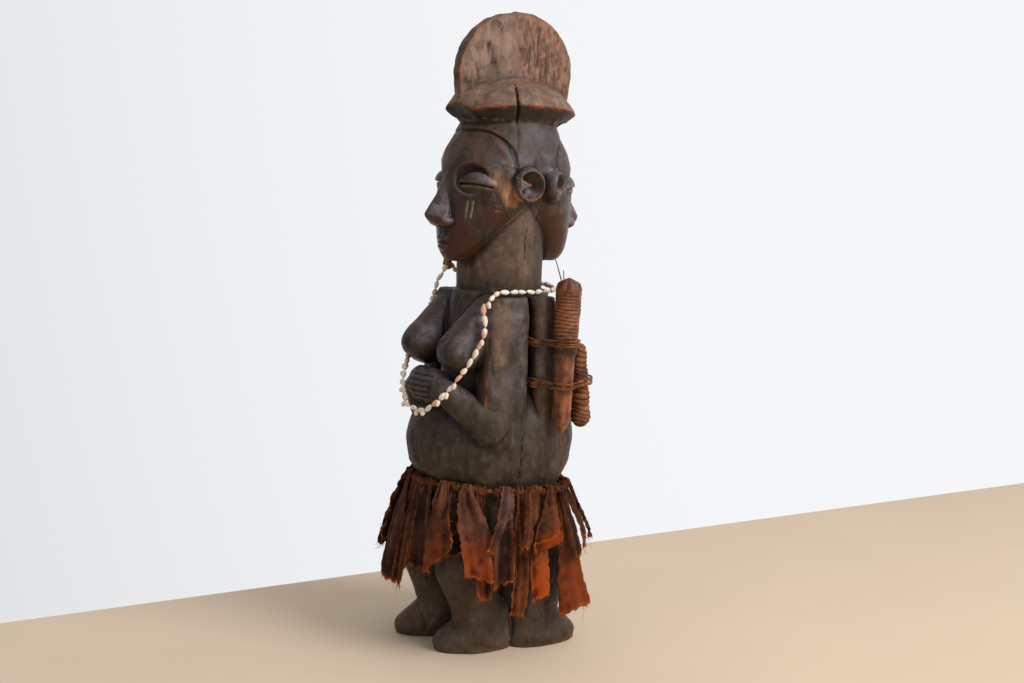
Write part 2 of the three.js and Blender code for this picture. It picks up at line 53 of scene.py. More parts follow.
# The log's named sizes, the same as the solids have.
HEIGHT = 760.0
SHOULDER_Z = 434.0
ARM_TOP_Z = 430.0
HEAD_TOP_Z = 632.0
HEAD_TOP_R = 54.0
NECK_R = 51.0
NECK_Y = -3.0
CREST_THICK = 14.0
CREST_HALF = 79.0
CREST_MID_Y = 4.5
CREST_MID_Z = 690.0
BRIM_Z = 650.0
BRIM_HALF_X = 61.0
BRIM_HALF_Y = 79.0
BRIM_MID_Y = 4.0
BRIM_CORNER = 64.0
EYE_Z = 556.0
EYE_TURN = 32.0
EAR_Z = EYE_Z + 4
SLOT_X = 50.0


# Noise. All of it is hashed from whole numbers, so it is the same on every run.


def hashed(i, j, k, seed):
    """A number from 0 to 1 for each whole-number place."""
    h = i.astype(np.uint32) * np.uint32(374761393) + j.astype(np.uint32) * np.uint32(668265263)
    h += k.astype(np.uint32) * np.uint32(2246822519) + np.uint32(seed * 3266489917 % 4294967296)
    h = (h ^ (h >> np.uint32(13))) * np.uint32(1274126177)
    h = (h ^ (h >> np.uint32(15))) * np.uint32(2654435761)
    return (h ^ (h >> np.uint32(16))).astype(np.float32) / np.float32(4294967295.0)


def noise(points, scale, seed=0):
    """Smooth value noise from -1 to 1. scale is the size of a blob in mm, one number or one per axis."""
    p = points / np.asarray(scale, np.float32)
    cell = np.floor(p)
    f = p - cell
    f = f * f * (3 - 2 * f)
    cell = cell.astype(np.int64)
    total = np.zeros(len(points), np.float32)
    for corner in range(8):
        step = np.array([corner & 1, (corner >> 1) & 1, (corner >> 2) & 1])
        i, j, k = (cell + step).T
        weight = np.prod(np.where(step, f, 1 - f), axis=1)
        total += (weight * hashed(i, j, k, seed)).astype(np.float32)
    return 2 * total - 1


def cells_near(p):
    """The whole numbers, by axis, of the 27 cells round each place."""
    cell = np.floor(p).astype(np.int64)
    for step in np.ndindex(3, 3, 3):
        yield (cell + np.array(step) - 1).T


def scallops(points, size, seed=0):
    """Depth of tool marks: 0 in the middle of a cut and rising to about 1 on the ridge between two."""
    p = points / np.asarray(size, np.float32)
    best = np.full(len(points), 9.0, np.float32)
    for cell in cells_near(p):
        gap = 0
        for axis in range(3):
            spot = cell[axis] + 0.15 + 0.7 * hashed(*cell, seed + 11 * axis)
            gap = gap + (p[:, axis] - spot) ** 2
        best = np.minimum(best, gap)
    return np.minimum(best, 1.2)


def facets(points, size, seed=0):
    """Flat cuts of a blade: the height of each cut's own slanting plane, and 1 on the line between two."""
    p = points / np.asarray(size, np.float32)
    best = np.full(len(points), 9.0, np.float32)
    second = best.copy()
    level = np.zeros(len(points), np.float32)
    for cell in cells_near(p):
        gap, plane = 0, hashed(*cell, seed + 71) - 0.5
        for axis in range(3):
            away = p[:, axis] - cell[axis] - 0.1 - 0.8 * hashed(*cell, seed + 11 * axis)
            gap = gap + away**2
            plane = plane + 1.6 * away * (hashed(*cell, seed + 47 + axis) - 0.5)
        nearer = gap < best
        second = np.where(nearer, best, np.minimum(second, gap))
        level = np.where(nearer, plane, level)
        best = np.where(nearer, gap, best)
    return level + 0.6 * np.minimum(best, 1.2) - 0.2, rise(np.sqrt(second) - np.sqrt(best), 0.10, 0.02)


def rise(value, low, high):
    """0 below low, 1 above high and smooth between; with low above high it falls instead."""
    t = np.clip((value - low) / (high - low), 0, 1)
    return t * t * (3 - 2 * t)


def unit(v):
    """Vectors made one long."""
    return v / np.maximum(np.linalg.norm(v, axis=-1, keepdims=True), 1e-9)


# The carving: a field of distances in mm, negative inside the wood.


def soft_min(a, b, k):
    if k <= 0:
        return np.minimum(a, b)
    h = np.maximum(k - np.abs(a - b), 0) / k
    return np.minimum(a, b) - h * h * k / 4


def soft_max(a, b, k):
    return -soft_min(-a, -b, k)


class Carving:
    """A block of space that shapes are added to and cut from."""

    def __init__(self, low, high, step):
        self.low = np.array(low, np.float32)
        self.step = step
        self.size = [int(math.ceil((b - a) / step)) + 1 for a, b in zip(low, high)]
        self.field = np.full(self.size, 40.0, np.float32)

    def window(self, low, high):
        cuts = []
        for axis in range(3):
            first = int(max(0, math.floor((low[axis] - self.low[axis]) / self.step)))
            last = int(min(self.size[axis], math.ceil((high[axis] - self.low[axis]) / self.step) + 1))
            cuts.append(slice(first, last))
        lines = []
        for axis, part in enumerate(cuts):
            lines.append(self.low[axis] + self.step * np.arange(part.start, part.stop, dtype=np.float32))
        return tuple(cuts), np.ix_(*lines)

    def add(self, shape, k=0.0):
        distance, low, high = shape
        cut, (x, y, z) = self.window(np.array(low) - 10 - k, np.array(high) + 10 + k)
        self.field[cut] = soft_min(self.field[cut], distance(x, y, z), k)

    def cut(self, shape, k=0.0):
        distance, low, high = shape
        cut, (x, y, z) = self.window(np.array(low) - 3 - k, np.array(high) + 3 + k)
        self.field[cut] = soft_max(self.field[cut], -distance(x, y, z), k)

    def groove(self, gap, low, high, width, depth):
        """Cuts a V groove where gap, a distance from a line or sheet, is under half the width."""
        cut, (x, y, z) = self.window(low, high)
        skin = self.field[cut]
        sink = depth * np.clip(1 - np.abs(gap(x, y, z)) / (width / 2), 0, 1)
        near = np.clip(1 - np.abs(skin) / (3 * depth + 3), 0, 1)
        self.field[cut] = skin + sink * near

    def bend(self, cells):
        """How far the field differs from its own mean nearby: above 0 on ridges and below 0 in hollows."""
        mean = np.clip(self.field, -14, 14)
        level = mean.copy()
        for axis in range(3):
            pad = [(0, 0)] * 3
            pad[axis] = (cells + 1, cells)
            run = np.cumsum(np.pad(mean, pad, mode="edge"), axis=axis, dtype=np.float32)
            low = [slice(None)] * 3
            high = [slice(None)] * 3
            low[axis] = slice(None, -2 * cells - 1)
            high[axis] = slice(2 * cells + 1, None)
            mean = (run[tuple(high)] - run[tuple(low)]) / (2 * cells + 1)
        return mean - level

    def sample(self, grid, points):
        """A grid's value at each point, between the eight cells round it."""
        place = (points - self.low) / self.step
        first = np.clip(np.floor(place).astype(int), 0, np.array(self.size) - 2)
        part = np.clip(place - first, 0, 1)
        total = np.zeros(len(points), np.float32)
        for corner in range(8):
            step = np.array([corner & 1, (corner >> 1) & 1, (corner >> 2) & 1])
            i, j, k = (first + step).T
            total += (np.prod(np.where(step, part, 1 - part), axis=1) * grid[i, j, k]).astype(np.float32)
        return total

    def mesh(self):
        """The surface as points and quads."""
        grid = openvdb.FloatGrid()
        grid.background = 4.0
        grid.copyFromArray(np.clip(self.field, -4, 4))
        points, _, quads = grid.convertToPolygons(isovalue=0.0, adaptivity=0.0)
        return points * self.step + self.low, quads


# Shapes. Each one is a distance function with the low and high corner of the space it fills.


def ball(at, half, turn=0.0):
    """A stretched ball, turned about Z."""
    a = math.radians(turn)
    c, s = math.cos(a), math.sin(a)
    reach = max(half)

    def distance(x, y, z):
        dx, dy, w = x - at[0], y - at[1], z - at[2]
        u = dx * c + dy * s
        v = dy * c - dx * s
        near = np.sqrt((u / half[0]) ** 2 + (v / half[1]) ** 2 + (w / half[2]) ** 2)
        far = np.sqrt((u / half[0] ** 2) ** 2 + (v / half[1] ** 2) ** 2 + (w / half[2] ** 2) ** 2)
        return near * (near - 1) / np.maximum(far, 1e-4)

    return distance, [p - reach for p in at], [p + reach for p in at]


def limb(a, b, ra, rb):
    """A rounded bar from a to b, with a radius at each end."""
    a, b = np.array(a, np.float32), np.array(b, np.float32)
    run = b - a
    length = float(run @ run)

    def distance(x, y, z):
        t = np.clip(((x - a[0]) * run[0] + (y - a[1]) * run[1] + (z - a[2]) * run[2]) / length, 0, 1)
        gap = (x - a[0] - t * run[0]) ** 2 + (y - a[1] - t * run[1]) ** 2 + (z - a[2] - t * run[2]) ** 2
        return np.sqrt(gap) - (ra + (rb - ra) * t)

    r = max(ra, rb)
    return distance, np.minimum(a, b) - r, np.maximum(a, b) + r


def block(at, size):
    """A box round a middle."""
    reach = max(size) * 0.8
    half = np.array([reach, reach, size[2] / 2])

    def distance(x, y, z):
        u, v, w = (np.abs(p - middle) - whole / 2 for p, middle, whole in zip((x, y, z), at, size))
        return np.maximum(np.maximum(u, v), w)

    return distance, np.array(at) - half, np.array(at) + half


def loft(rows, soften=9.0, turn=0.0, lid=3.0):
    """A form of level rounded ovals, rows of (z, x, y, half width, half depth, power), from the foot up."""
    rows = np.array([list(r) + [2.0] * (6 - len(r)) for r in rows], float)
    fine = np.arange(rows[0, 0] - 40, rows[-1, 0] + 40, 0.5)
    kernel = np.hanning(int(4 * soften) | 1)
    kernel /= kernel.sum()
    table = [np.convolve(np.interp(fine, rows[:, 0], rows[:, i]), kernel, "same") for i in range(1, 6)]
    square = bool(np.any(rows[:, 5] != 2.0))
    a = math.radians(turn)
    c, s = math.cos(a), math.sin(a)

    def distance(x, y, z):
        mx, my, wide, deep, power = (np.interp(z, fine, t).astype(np.float32) for t in table)
        dx, dy = x - mx, y - my
        if turn:
            dx, dy = dx * c + dy * s, dy * c - dx * s
        u, v = np.abs(dx) / wide, np.abs(dy) / deep
        if square:
            k = (u**power + v**power) ** (1 / power)
            pull = np.sqrt((u ** (power - 1) / wide) ** 2 + (v ** (power - 1) / deep) ** 2)
            pull = pull * np.maximum(k, 0.05) ** (1 - power)
        else:
            k = np.sqrt(u * u + v * v)
            pull = np.sqrt((u / wide) ** 2 + (v / deep) ** 2) / np.maximum(k, 0.05)
        side = (k - 1) / np.maximum(pull, 1e-3)
        ends = np.maximum(rows[0, 0] - z, z - rows[-1, 0])
        return soft_max(side, ends, lid)

    reach = np.hypot(rows[:, 3], rows[:, 4]).max() if turn else None
    wide = reach or rows[:, 3].max()
    deep = reach or rows[:, 4].max()
    low = [rows[:, 1].min() - wide, rows[:, 2].min() - deep, rows[0, 0]]
    high = [rows[:, 1].max() + wide, rows[:, 2].max() + deep, rows[-1, 0]]
    return distance, low, high


def planed(shape, *cuts):
    """A shape pared off past some planes. A plane is a point on it, the way it faces out and a softness."""
    planes = [(at, unit(np.array(facing, float)), k) for at, facing, k in cuts]

    def distance(x, y, z):
        total = shape[0](x, y, z)
        for at, n, k in planes:
            total = soft_max(total, (x - at[0]) * n[0] + (y - at[1]) * n[1] + (z - at[2]) * n[2], k)
        return total

    return distance, shape[1], shape[2]


# The log.



def crest_plate():
    """A round plate, its outline cut in short straight chords."""
    foot, foot_half = 653.0, 76.6
    top = HEIGHT - CREST_MID_Z
    chord = math.pi / 12

    def distance(x, y, z):
        half = CREST_HALF + 1.5
        across = np.abs(y - CREST_MID_Y)
        lean = np.interp(z, [foot, CREST_MID_Z], [foot_half, half]).astype(np.float32)
        up = (z - CREST_MID_Z - 0.05 * (y - CREST_MID_Y)) / top
        k = np.sqrt((across / half) ** 2 + up**2)
        angle = np.arctan2(up, (y - CREST_MID_Y) / half) - math.pi / 2 + 6 * chord
        k = k * np.cos(np.mod(angle, chord) - chord / 2) / math.cos(chord / 2)
        k = np.where(k > 0.2, k, 0.2)
        outline = np.where(up > 0, (k - 1) * top * 1.05, across - lean)
        plate = np.abs(x) - CREST_THICK / 2
        return soft_max(soft_max(outline, plate, 1.6), foot - z, 1)

    return distance, [-8, CREST_MID_Y - 80, foot], [8, CREST_MID_Y + 80, HEIGHT]


def brim_lift(x, y):
    """How far the brim's edge is lifted, as a wide lobe over each side and a narrow one over each face."""
    bearing = np.degrees(np.arctan2(np.abs(y - BRIM_MID_Y) / BRIM_HALF_Y, np.abs(x) / BRIM_HALF_X))
    side_lobe = 2.0 - 7.5 * (bearing / BRIM_CORNER) ** 2
    face_lobe = 1.0 - 6.5 * ((90 - bearing) / (90 - BRIM_CORNER)) ** 2
    swell = 1 + 0.02 * np.exp(-(((bearing - BRIM_CORNER) / 9) ** 2))
    return np.where(bearing < BRIM_CORNER, side_lobe, face_lobe), swell


def brim():
    """Four lobes with low corners between them, under a roof that rises to the crest."""
    plain, low, high = loft(
        [
            (HEAD_TOP_Z - 6, 0, 1, HEAD_TOP_R - 5, HEAD_TOP_R - 1),
            (BRIM_Z - 1, 0, BRIM_MID_Y, BRIM_HALF_X + 1, BRIM_HALF_Y + 1, 2.1),
            (BRIM_Z + 2, 0, BRIM_MID_Y, BRIM_HALF_X, BRIM_HALF_Y, 2.1),
            (BRIM_Z + 11, 0, BRIM_MID_Y, 55, 74),
            (BRIM_Z + 22, 0, BRIM_MID_Y, 40, 62),
            (BRIM_Z + 35, 0, BRIM_MID_Y, 6, 28),
        ],
        soften=0.9,
        lid=1.5,
    )

    def distance(x, y, z):
        lift, swell = brim_lift(x, y)
        place = z - lift * rise(z, 630, 637) * rise(z, 692, 660)
        return plain(x / swell, BRIM_MID_Y + (y - BRIM_MID_Y) / swell, place) * 0.8

    return distance, low, high


def face_mask(face):
    """A mask, from its chin to its hair, as rows of z, front, back and half width."""
    rows = []
    for z, front, back, wide in (
        (468, 76, 50, 12),
        (474, 83, 42, 22),
        (488, 86, 24, 33),
        (505, 86, 4, 44),
        (525, 84, -20, 55),
        (550, 84, -40, 63),
        (575, 82, -45, 66),
        (598, 75, -45, 63),
        (618, 62, -45, 57),
        (632, 52, -45, 53),
    ):
        rows.append((z, 0, -face * (front + back) / 2, wide, (front - back) / 2))
    return loft(rows, soften=11, lid=5)


def nose(face):
    """A long wedge, as rows of z, y, half width, half depth and power."""
    rows = []
    for z, y, wide, deep, power in (
        (506, -82, 14, 8, 1.9),
        (513, -86, 16, 17, 1.7),
        (521, -89, 15.5, 22.5, 1.45),
        (535, -85, 11.5, 17.5, 1.35),
        (552, -78, 9.5, 12.5, 1.35),
        (570, -73, 9, 8, 1.5),
    ):
        rows.append((z, 0, face * y, wide, deep, power))
    return loft(rows, soften=6, lid=3)


def eye_frame(face, side):
    """A function that gives places in the eye's own frame: u outwards along the cheek, v up, w out."""
    middle = np.array([side * 34.0, -face * 60.5, EYE_Z + 1])
    a = math.radians(EYE_TURN)
    out = np.array([side * math.cos(a), face * math.sin(a)])
    facing = np.array([side * math.sin(a), -face * math.cos(a)])

    def local(x, y, z):
        dx, dy = x - middle[0], y - middle[1]
        return dx * out[0] + dy * out[1], z - middle[2], dx * facing[0] + dy * facing[1]

    return local, middle


def carve_eye(wood, face, side):
    """A heavy upper lid over a narrow slit, in a hollow that ends in a crisp brow edge."""
    local, middle = eye_frame(face, side)
    turn = face * side * EYE_TURN
    wood.cut(ball([side * 37.5, -face * 77.5, EYE_Z + 10], [27, 16.5, 19.5], turn), 1.2)
    wood.add(ball(middle, [24.5, 12, 15], turn), 1.0)
    low, high = middle - 29, middle + 29

    def edge(u):
        return 3.2 - 0.0042 * (u + 7) ** 2

    def lid(x, y, z):
        u, v, w = local(x, y, z)
        near = np.sqrt((u / 26) ** 2 + ((v - 0.5) / 16.5) ** 2 + (w / 14.6) ** 2)
        far = np.sqrt((u / 676) ** 2 + ((v - 0.5) / 272) ** 2 + (w / 213) ** 2)
        return soft_max(near * (near - 1) / np.maximum(far, 1e-4), edge(u) - v, 0.8)

    def slit(x, y, z):
        u, v, w = local(x, y, z)
        gap = np.abs(v - edge(u) + 1.4) - 0.95
        return np.maximum(np.maximum(gap, np.abs(u) - 20.5), 7.6 - w - 0.012 * u * u)

    wood.add((lid, low, high), 0.6)
    wood.cut((slit, low, high), 0.4)


# Each ear's cup and the bowl cut from it, for the near side of the front figure.
FRONT_EAR = dict(x=66, y=13, half=[18, 21, 21], bowl_x=82, bowl_y=16, bowl=[16, 17.5, 17.5])
REAR_EAR = dict(x=60, y=25, half=[17, 16, 20], bowl_x=72, bowl_y=35, bowl=[15, 14, 16])


def carve_ear(wood, face, side):
    """A thick cup. On the front head a flat wedge lies in it and points to the face."""
    size = FRONT_EAR if face == FRONT else REAR_EAR
    wood.add(ball([side * size["x"], -face * size["y"], EAR_Z], size["half"]), 2.5)
    wood.cut(ball([side * size["bowl_x"], -face * size["bowl_y"], EAR_Z], size["bowl"]), 0.6)
    if face == REAR:
        return
    tip, root, level = size["y"] - 4.0, size["y"] + 20.0, size["x"] + 5.5

    def wedge(x, y, z):
        ahead = -face * y
        tall = 9.5 * (ahead - tip) / (root - tip)
        sides = np.abs(z - EAR_Z) - tall
        ends = np.maximum(ahead - root, tip - ahead)
        flat = np.maximum(side * x - level, level - 14 - side * x)
        return np.maximum(np.maximum(sides * 0.93, ends), flat)

    flip = np.array([side, -face, 1])
    ends = flip * [size["x"] - 12, size["y"] - 6, EAR_Z - 11], flip * [level + 1, size["y"] + 22, EAR_Z + 11]
    wood.add((wedge, np.min(ends, axis=0), np.max(ends, axis=0)), 0.6)


def hairline(x, z):
    """Signed distance from the arch between face and hair: negative on the face."""
    across, up = np.abs(x) / 66.5, np.maximum(z - EYE_Z - 1, 0) / 64
    level = across**4 + up**2.2
    steep = np.hypot(4 / 66.5 * across**3, 2.2 / 64 * up**1.2)
    return (level - 1) / np.maximum(steep, 0.01)


def carve_hairline(wood, face):
    """A groove on the hairline, with the hair a little prouder than the forehead."""
    reach = sorted((-face * 24, -face * 80))
    cut, (x, y, z) = wood.window([-72, reach[0], EYE_Z - 12], [72, reach[1], HEAD_TOP_Z - 1])
    skin = wood.field[cut]
    gap = hairline(x, z) + 0 * y
    fade = rise(-face * y, 24, 31) * rise(z, EYE_Z - 12, EYE_Z - 4) * rise(np.abs(skin), 7, 3)
    proud = 1.7 * rise(gap, 0.6, 1.8) * rise(gap, 18, 7) * rise(-face * y, 28, 44)
    sunk = 2.1 * np.clip(1 - np.abs(gap + 0.2) / 2.0, 0, 1)
    wood.field[cut] = skin + (sunk - proud) * fade


def carve_head(wood):
    wood.add(loft([(SHOULDER_Z - 12, 0, NECK_Y, NECK_R, NECK_R), (560, 0, NECK_Y, NECK_R, NECK_R)]), 3)
    for face in FACES:
        wood.add(face_mask(face), 1.5)
    wood.add(brim(), 1.2)
    wood.add(crest_plate(), 2)
    for face in FACES:
        carve_hairline(wood, face)
        for side in SIDES:
            carve_eye(wood, face, side)
            carve_ear(wood, face, side)
        wood.add(nose(face), 3)
        for side in SIDES:
            wood.add(ball([side * 11.5, -face * 87, 514.5], [7.5, 10, 6.5]), 2)
            wood.cut(ball([side * 7.5, -face * 92, 506.5], [4, 6, 4]), 1)
        wood.add(ball([0, -face * 80.5, 495], [14, 9, 5.2]), 2.5)
        wood.add(ball([0, -face * 80, 484.5], [12, 8.5, 5]), 2.5)
        wood.cut(ball([0, -face * 89, 489.5], [15, 5, 1.4]), 1)
        wood.cut(ball([0, -face * 90, 502], [3, 4, 6]), 2)


def carve_trunk(wood):
    wood.add(
        loft(
            [
                (160, 0, 0, 50, 60),
                (190, 0, 0, 66, 80),
                (206, 0, -1, 72, 91),
                (226, 0, -4, 81, 104),
                (254, 0, -5, 84.5, 109),
                (282, 0, -4, 80, 103),
                (306, 0, -2, 67, 88),
                (325, 0, 0, 52, 75),
                (424, 0, 0, 49, 63),
                (SHOULDER_Z, 0, 0, 47, 59),
            ],
            soften=14,
            lid=4,
        )
    )
    for side in SIDES:
        breast = planed(
            limb([side * 41, -44, 408], [side * 40, -81, 366], 22, 26.5),
            ([side * 40, -98.5, 383.5], [0, -0.72, 0.69], 5),
            ([side * 40, -91, 345.5], [0, -0.47, -0.88], 5),
            ([side * 62.5, -84, 366], [side, -0.25, 0.2], 6),
        )
        wood.add(breast, 3)


def carve_arms(wood):
    for side in SIDES:
        upper = loft(
            [
                (256, side * 65, -36, 15, 24, 2.0),
                (278, side * 62, -34, 20, 31, 2.6),
                (340, side * 57, -32, 19, 31, 3.2),
                (405, side * 54, -29, 19, 29, 3.2),
                (ARM_TOP_Z, side * 50, -26, 18, 26, 2.6),
            ],
            soften=14,
            lid=4,
        )
        wood.add(planed(upper, ([side * 79, -50, 300], [side * 0.93, -0.36, 0.06], 4)), 5)
        fore = planed(
            limb([side * 64, -50, 279], [side * 26, -93, 315], 25, 18),
            ([side * 74.5, -38, 269], [side * 0.558, 0.632, -0.544], 4),
            ([side * 84, -62, 279], [side * 0.80, -0.58, 0.12], 5),
            ([side * 46, -74, 277], [side * -0.42, -0.55, -0.72], 4),
        )
        wood.add(fore, 2.2)
        wood.add(ball([side * 13, -97.5, 322], [24, 16.5, 21], turn=side * 20), 2)
        rear = loft(
            [
                (244, side * 68, 22, 9, 7, 2.0),
                (258, side * 66, 22, 13, 12, 2.4),
                (290, side * 64, 22, 14, 13, 2.6),
                (340, side * 62.5, 22, 11.5, 15, 3.0),
                (410, side * 61.5, 21, 11.5, 16, 3.0),
                (ARM_TOP_Z, side * 57, 20, 14, 14, 2.6),
            ],
            soften=10,
            lid=2,
        )
        wood.add(rear, 1.2)
        wood.add(block([side * 48, 20, ARM_TOP_Z - 17], [24, 28, 30]), 2)
    for side in SIDES:
        wood.cut(block([side * SLOT_X, 22, 350], [6, 70, 90]), 1)


def carve_fingers(wood):
    """Fingers laid one above another, across the front of both hands."""
    pitch, first = 6.2, 304.0

    def gap(x, y, z):
        shifted = z - first - 0.03 * x
        return (np.mod(shifted + pitch / 2, pitch) - pitch / 2) + 0 * y

    wood.groove(gap, [-22, -122, 305], [22, -98, 338], 3.0, 2.0)


# Each foot: its face and side, where it is, and how far it is turned in degrees.
FEET = (
    (FRONT, NEAR, 27, -36, 14),
    (FRONT, AWAY, -46, -46, 20),
    (REAR, NEAR, 43, 53, 0),
    (REAR, AWAY, -43, 53, 0),
)


def carve_legs(wood):
    for face, side, x, y, turn in FEET:
        ankle_x = 0.5 * x + 0.5 * side * 36
        ankle_y = 0.5 * y - 0.5 * face * 34
        leg = loft(
            [
                (0, ankle_x, ankle_y, 22, 27, 2.4),
                (48, ankle_x, ankle_y, 26, 32, 2.0),
                (100, side * 37, -face * 60, 29, 37),
                (140, side * 36, -face * 57, 31, 37),
                (180, side * 31, -face * 42, 33, 38),
                (200, side * 24, -face * 30, 30, 36),
            ],
            soften=20,
            lid=3,
        )
        wood.add(leg, 6)
    for face, side, x, y, turn in FEET:
        back_x, back_y = face * math.sin(math.radians(turn)), face * math.cos(math.radians(turn))
        rows = []
        for z, half, wide, back, power in (
            (-8, 47, 24, 0, 2.3),
            (0, 47.5, 24.5, 0, 2.3),
            (11, 49.5, 26, 0, 2.3),
            (18, 47.5, 25.5, 1, 2.2),
            (30, 40, 24.5, 7, 2.0),
            (46, 30, 22.5, 14, 2.0),
            (62, 15, 15, 19, 2.0),
        ):
            rows.append((z, x + back * back_x, y + back * back_y, wide, half, power))
        wood.add(loft(rows, soften=5, turn=-turn, lid=6), 4)


# Drying cracks: the sheet x cos + y sin through the log's axis at a bearing, between two heights.
CRACKS = (
    dict(bearing=-24, low=624, high=680, width=4.0, depth=7, wave=0.8),
    dict(bearing=-24, low=590, high=633, width=1.5, depth=2, wave=1.2),
    dict(bearing=-9.8, low=202, high=306, width=1.5, depth=2.4, wave=2.2),
    dict(bearing=-3, low=462, high=520, width=1.6, depth=2, wave=1.5),
    dict(bearing=14, low=470, high=545, width=1.4, depth=1.5, wave=2.0),
    dict(bearing=150, low=436, high=560, width=2.0, depth=3, wave=2.5),
    dict(bearing=-140, low=205, high=290, width=1.8, depth=3, wave=2.0),
    dict(bearing=148, low=636, high=672, width=2.6, depth=4, wave=1.0),
)


def crack_gap(crack, x, y, z):
    """How far a place is from the crack's middle, more towards its two tips."""
    a = math.radians(crack["bearing"])
    c, s = math.cos(a), math.sin(a)
    wander = crack["wave"] * (np.sin(z / 17.0 + 3 * c) + 0.4 * np.sin(z / 5.3))
    across = np.abs(y * c - x * s - wander)
    taper = np.minimum(rise(z, crack["low"], crack["low"] + 22), rise(z, crack["high"], crack["high"] - 14))
    behind = np.where(x * c + y * s > 0, 0.0, 9.0)
    return across / np.maximum(taper, 0.05) + behind


def carve_cracks(wood):
    for crack in CRACKS:
        low, high = crack["low"], crack["high"]
        wood.groove(
            lambda x, y, z, crack=crack: crack_gap(crack, x, y, z),
            [-95, -115, low], [95, 115, high], crack["width"], crack["depth"],
        )


def near_line(p, a, b, reach):
    """1 on the line from a to b and 0 at reach from it."""
    a, b = np.array(a, np.float32), np.array(b, np.float32)
    run = b - a
    t = np.clip(((p - a) @ run) / (run @ run), 0, 1)
    gap = np.linalg.norm(p - a - t[:, None] * run, axis=1)
    return np.clip(1 - gap / reach, 0, 1)


def normals_of(points, quads):
    """A quad mesh's vertex normals."""
    corner = points[quads]
    across = np.cross(corner[:, 2] - corner[:, 0], corner[:, 3] - corner[:, 1])
    total = np.zeros_like(points)
    for k in range(4):
        for axis in range(3):
            total[:, axis] += np.bincount(quads[:, k], across[:, axis], len(points))
    return unit(total)


# Wear and colour, with painted sheen and painted shade, by place on the log.


def seen_from_eyes(p):
    """The places in each eye's own frame."""
    for face in FACES:
        for side in SIDES:
            local, _ = eye_frame(face, side)
            yield local(*p.T)


# Two cut lines under each eye, as places in the eye's frame: out along the cheek, and up.
SCARS = (((-7.2, -17.5), (-9.6, -35.5)), ((-0.4, -17.5), (-3.0, -36.0)))


def near_scars(p):
    most = np.zeros(len(p), np.float32)
    for u, v, w in seen_from_eyes(p):
        flat = np.stack([u, v, 0 * u], 1)
        for top, foot in SCARS:
            line = near_line(flat, [*top, 0], [*foot, 0], 2.2)
            most = np.maximum(most, line * rise(w, -12, -8))
    return most


def near_lower_lids(p):
    """1 on the worn edge under each eye's slit."""
    most = np.zeros(len(p), np.float32)
    for u, v, w in seen_from_eyes(p):
        gap = np.abs(v - 0.6 + 0.0042 * (u + 7) ** 2)
        most = np.maximum(most, rise(gap, 1.3, 0.5) * rise(np.abs(u), 20, 15) * rise(w, 2, 5))
    return most


# Sizes of the blade's cuts along x, y and z, by where they are.
CREST_CUTS = (60, 20, 25)
RAGGED_CUTS = (60, 14, 30)
BRIM_CUTS = (22, 22, 16)
BODY_CUTS = (26, 26, 44)

# Deep checks on the crest's weathered half: y, width and the two heights.
CHECKS = ((34, 1.5, 694, 742), (47, 1.1, 672, 712), (22, 0.9, 690, 716), (60, 1.0, 668, 700))


def wandering(p):
    """The places pushed about by up to 2 mm, so that cuts don't run straight."""
    return p + 2.0 * np.stack([noise(p, 17, seed=seed) for seed in (6, 7, 9)], 1)


def crest_sides(p, n):
    """1 on the crest's two flat sides, and 1 on the half of it that the weather has eaten."""
    flat = rise(p[:, 2], 668, 676) * rise(np.abs(n[:, 0]), 0.6, 0.85)
    return flat, rise(p[:, 1] + 6 * noise(p, 14, seed=2), -8, 10)


def tool_marks(p, n):
    """How far the surface moves along its normal, in mm, for tool marks, grain and wear."""
    x, y, z = p.T
    crest, weathered = crest_sides(p, n)
    ragged = crest * weathered
    on_brim = rise(z, 634, 640) * rise(z, 694, 680) * (1 - crest)
    face = rise(z, 462, 478) * rise(z, 626, 612) * rise(np.hypot(x, y), 50, 56)
    body = (1 - crest) * (1 - on_brim)
    bent = wandering(p)
    move = crest * (1 - ragged) * facets(bent, CREST_CUTS, seed=3)[0]
    move += ragged * (0.6 * facets(bent, RAGGED_CUTS, seed=13)[0] + 0.55 * noise(p, [4, 2.8, 7], seed=14))
    move += 0.55 * on_brim * facets(bent, BRIM_CUTS, seed=4)[0]
    move += body * (1 - 0.72 * face) * 0.85 * facets(bent, BODY_CUTS, seed=5)[0]
    move += body * (1 - 0.6 * face) * 0.22 * (scallops(p, [9, 9, 18], seed=8) - 0.3)
    grain = noise(p, [1.8, 1.8, 26], seed=21) * 0.6 + noise(p, [3.4, 3.4, 60], seed=22)
    move += (0.12 - 0.09 * face + 0.07 * ragged + 0.06 * on_brim) * grain
    pits = np.maximum(noise(p, [3.0, 3.0, 7.0], seed=31) - 0.6, 0)
    move -= (2.2 * ragged + rise(z, 300, 120) + 0.4) * (1 - face) * pits
    move += 0.5 * noise(p, 46, seed=41) * (1 - crest)
    for at, wide, low, high in CHECKS:
        gap = np.abs(y - at - 1.2 * noise(p, [9, 9, 9], seed=int(at)))
        move -= crest * 1.5 * np.clip(1 - gap / wide, 0, 1) * rise(z, low, low + 8) * rise(z, high, high - 8)
    # The feet's edges are worn away.
    move -= rise(z, 34, 0) * np.maximum(noise(p, 8, seed=51) - 0.2, 0) * 1.6
    # A rough band under the scraped temple, as if the blade had been stopped there.
    chopped = near_line(p, [50, -60, 535], [66, -22, 528], 7)
    move -= 0.6 * rise(chopped, 0.1, 0.6) * rise(noise(p, 3.4, seed=52), 0.05, 0.5)
    move -= 0.8 * rise(near_scars(p), 0.2, 0.8)
    return move * rise(z, 0.2, 4)


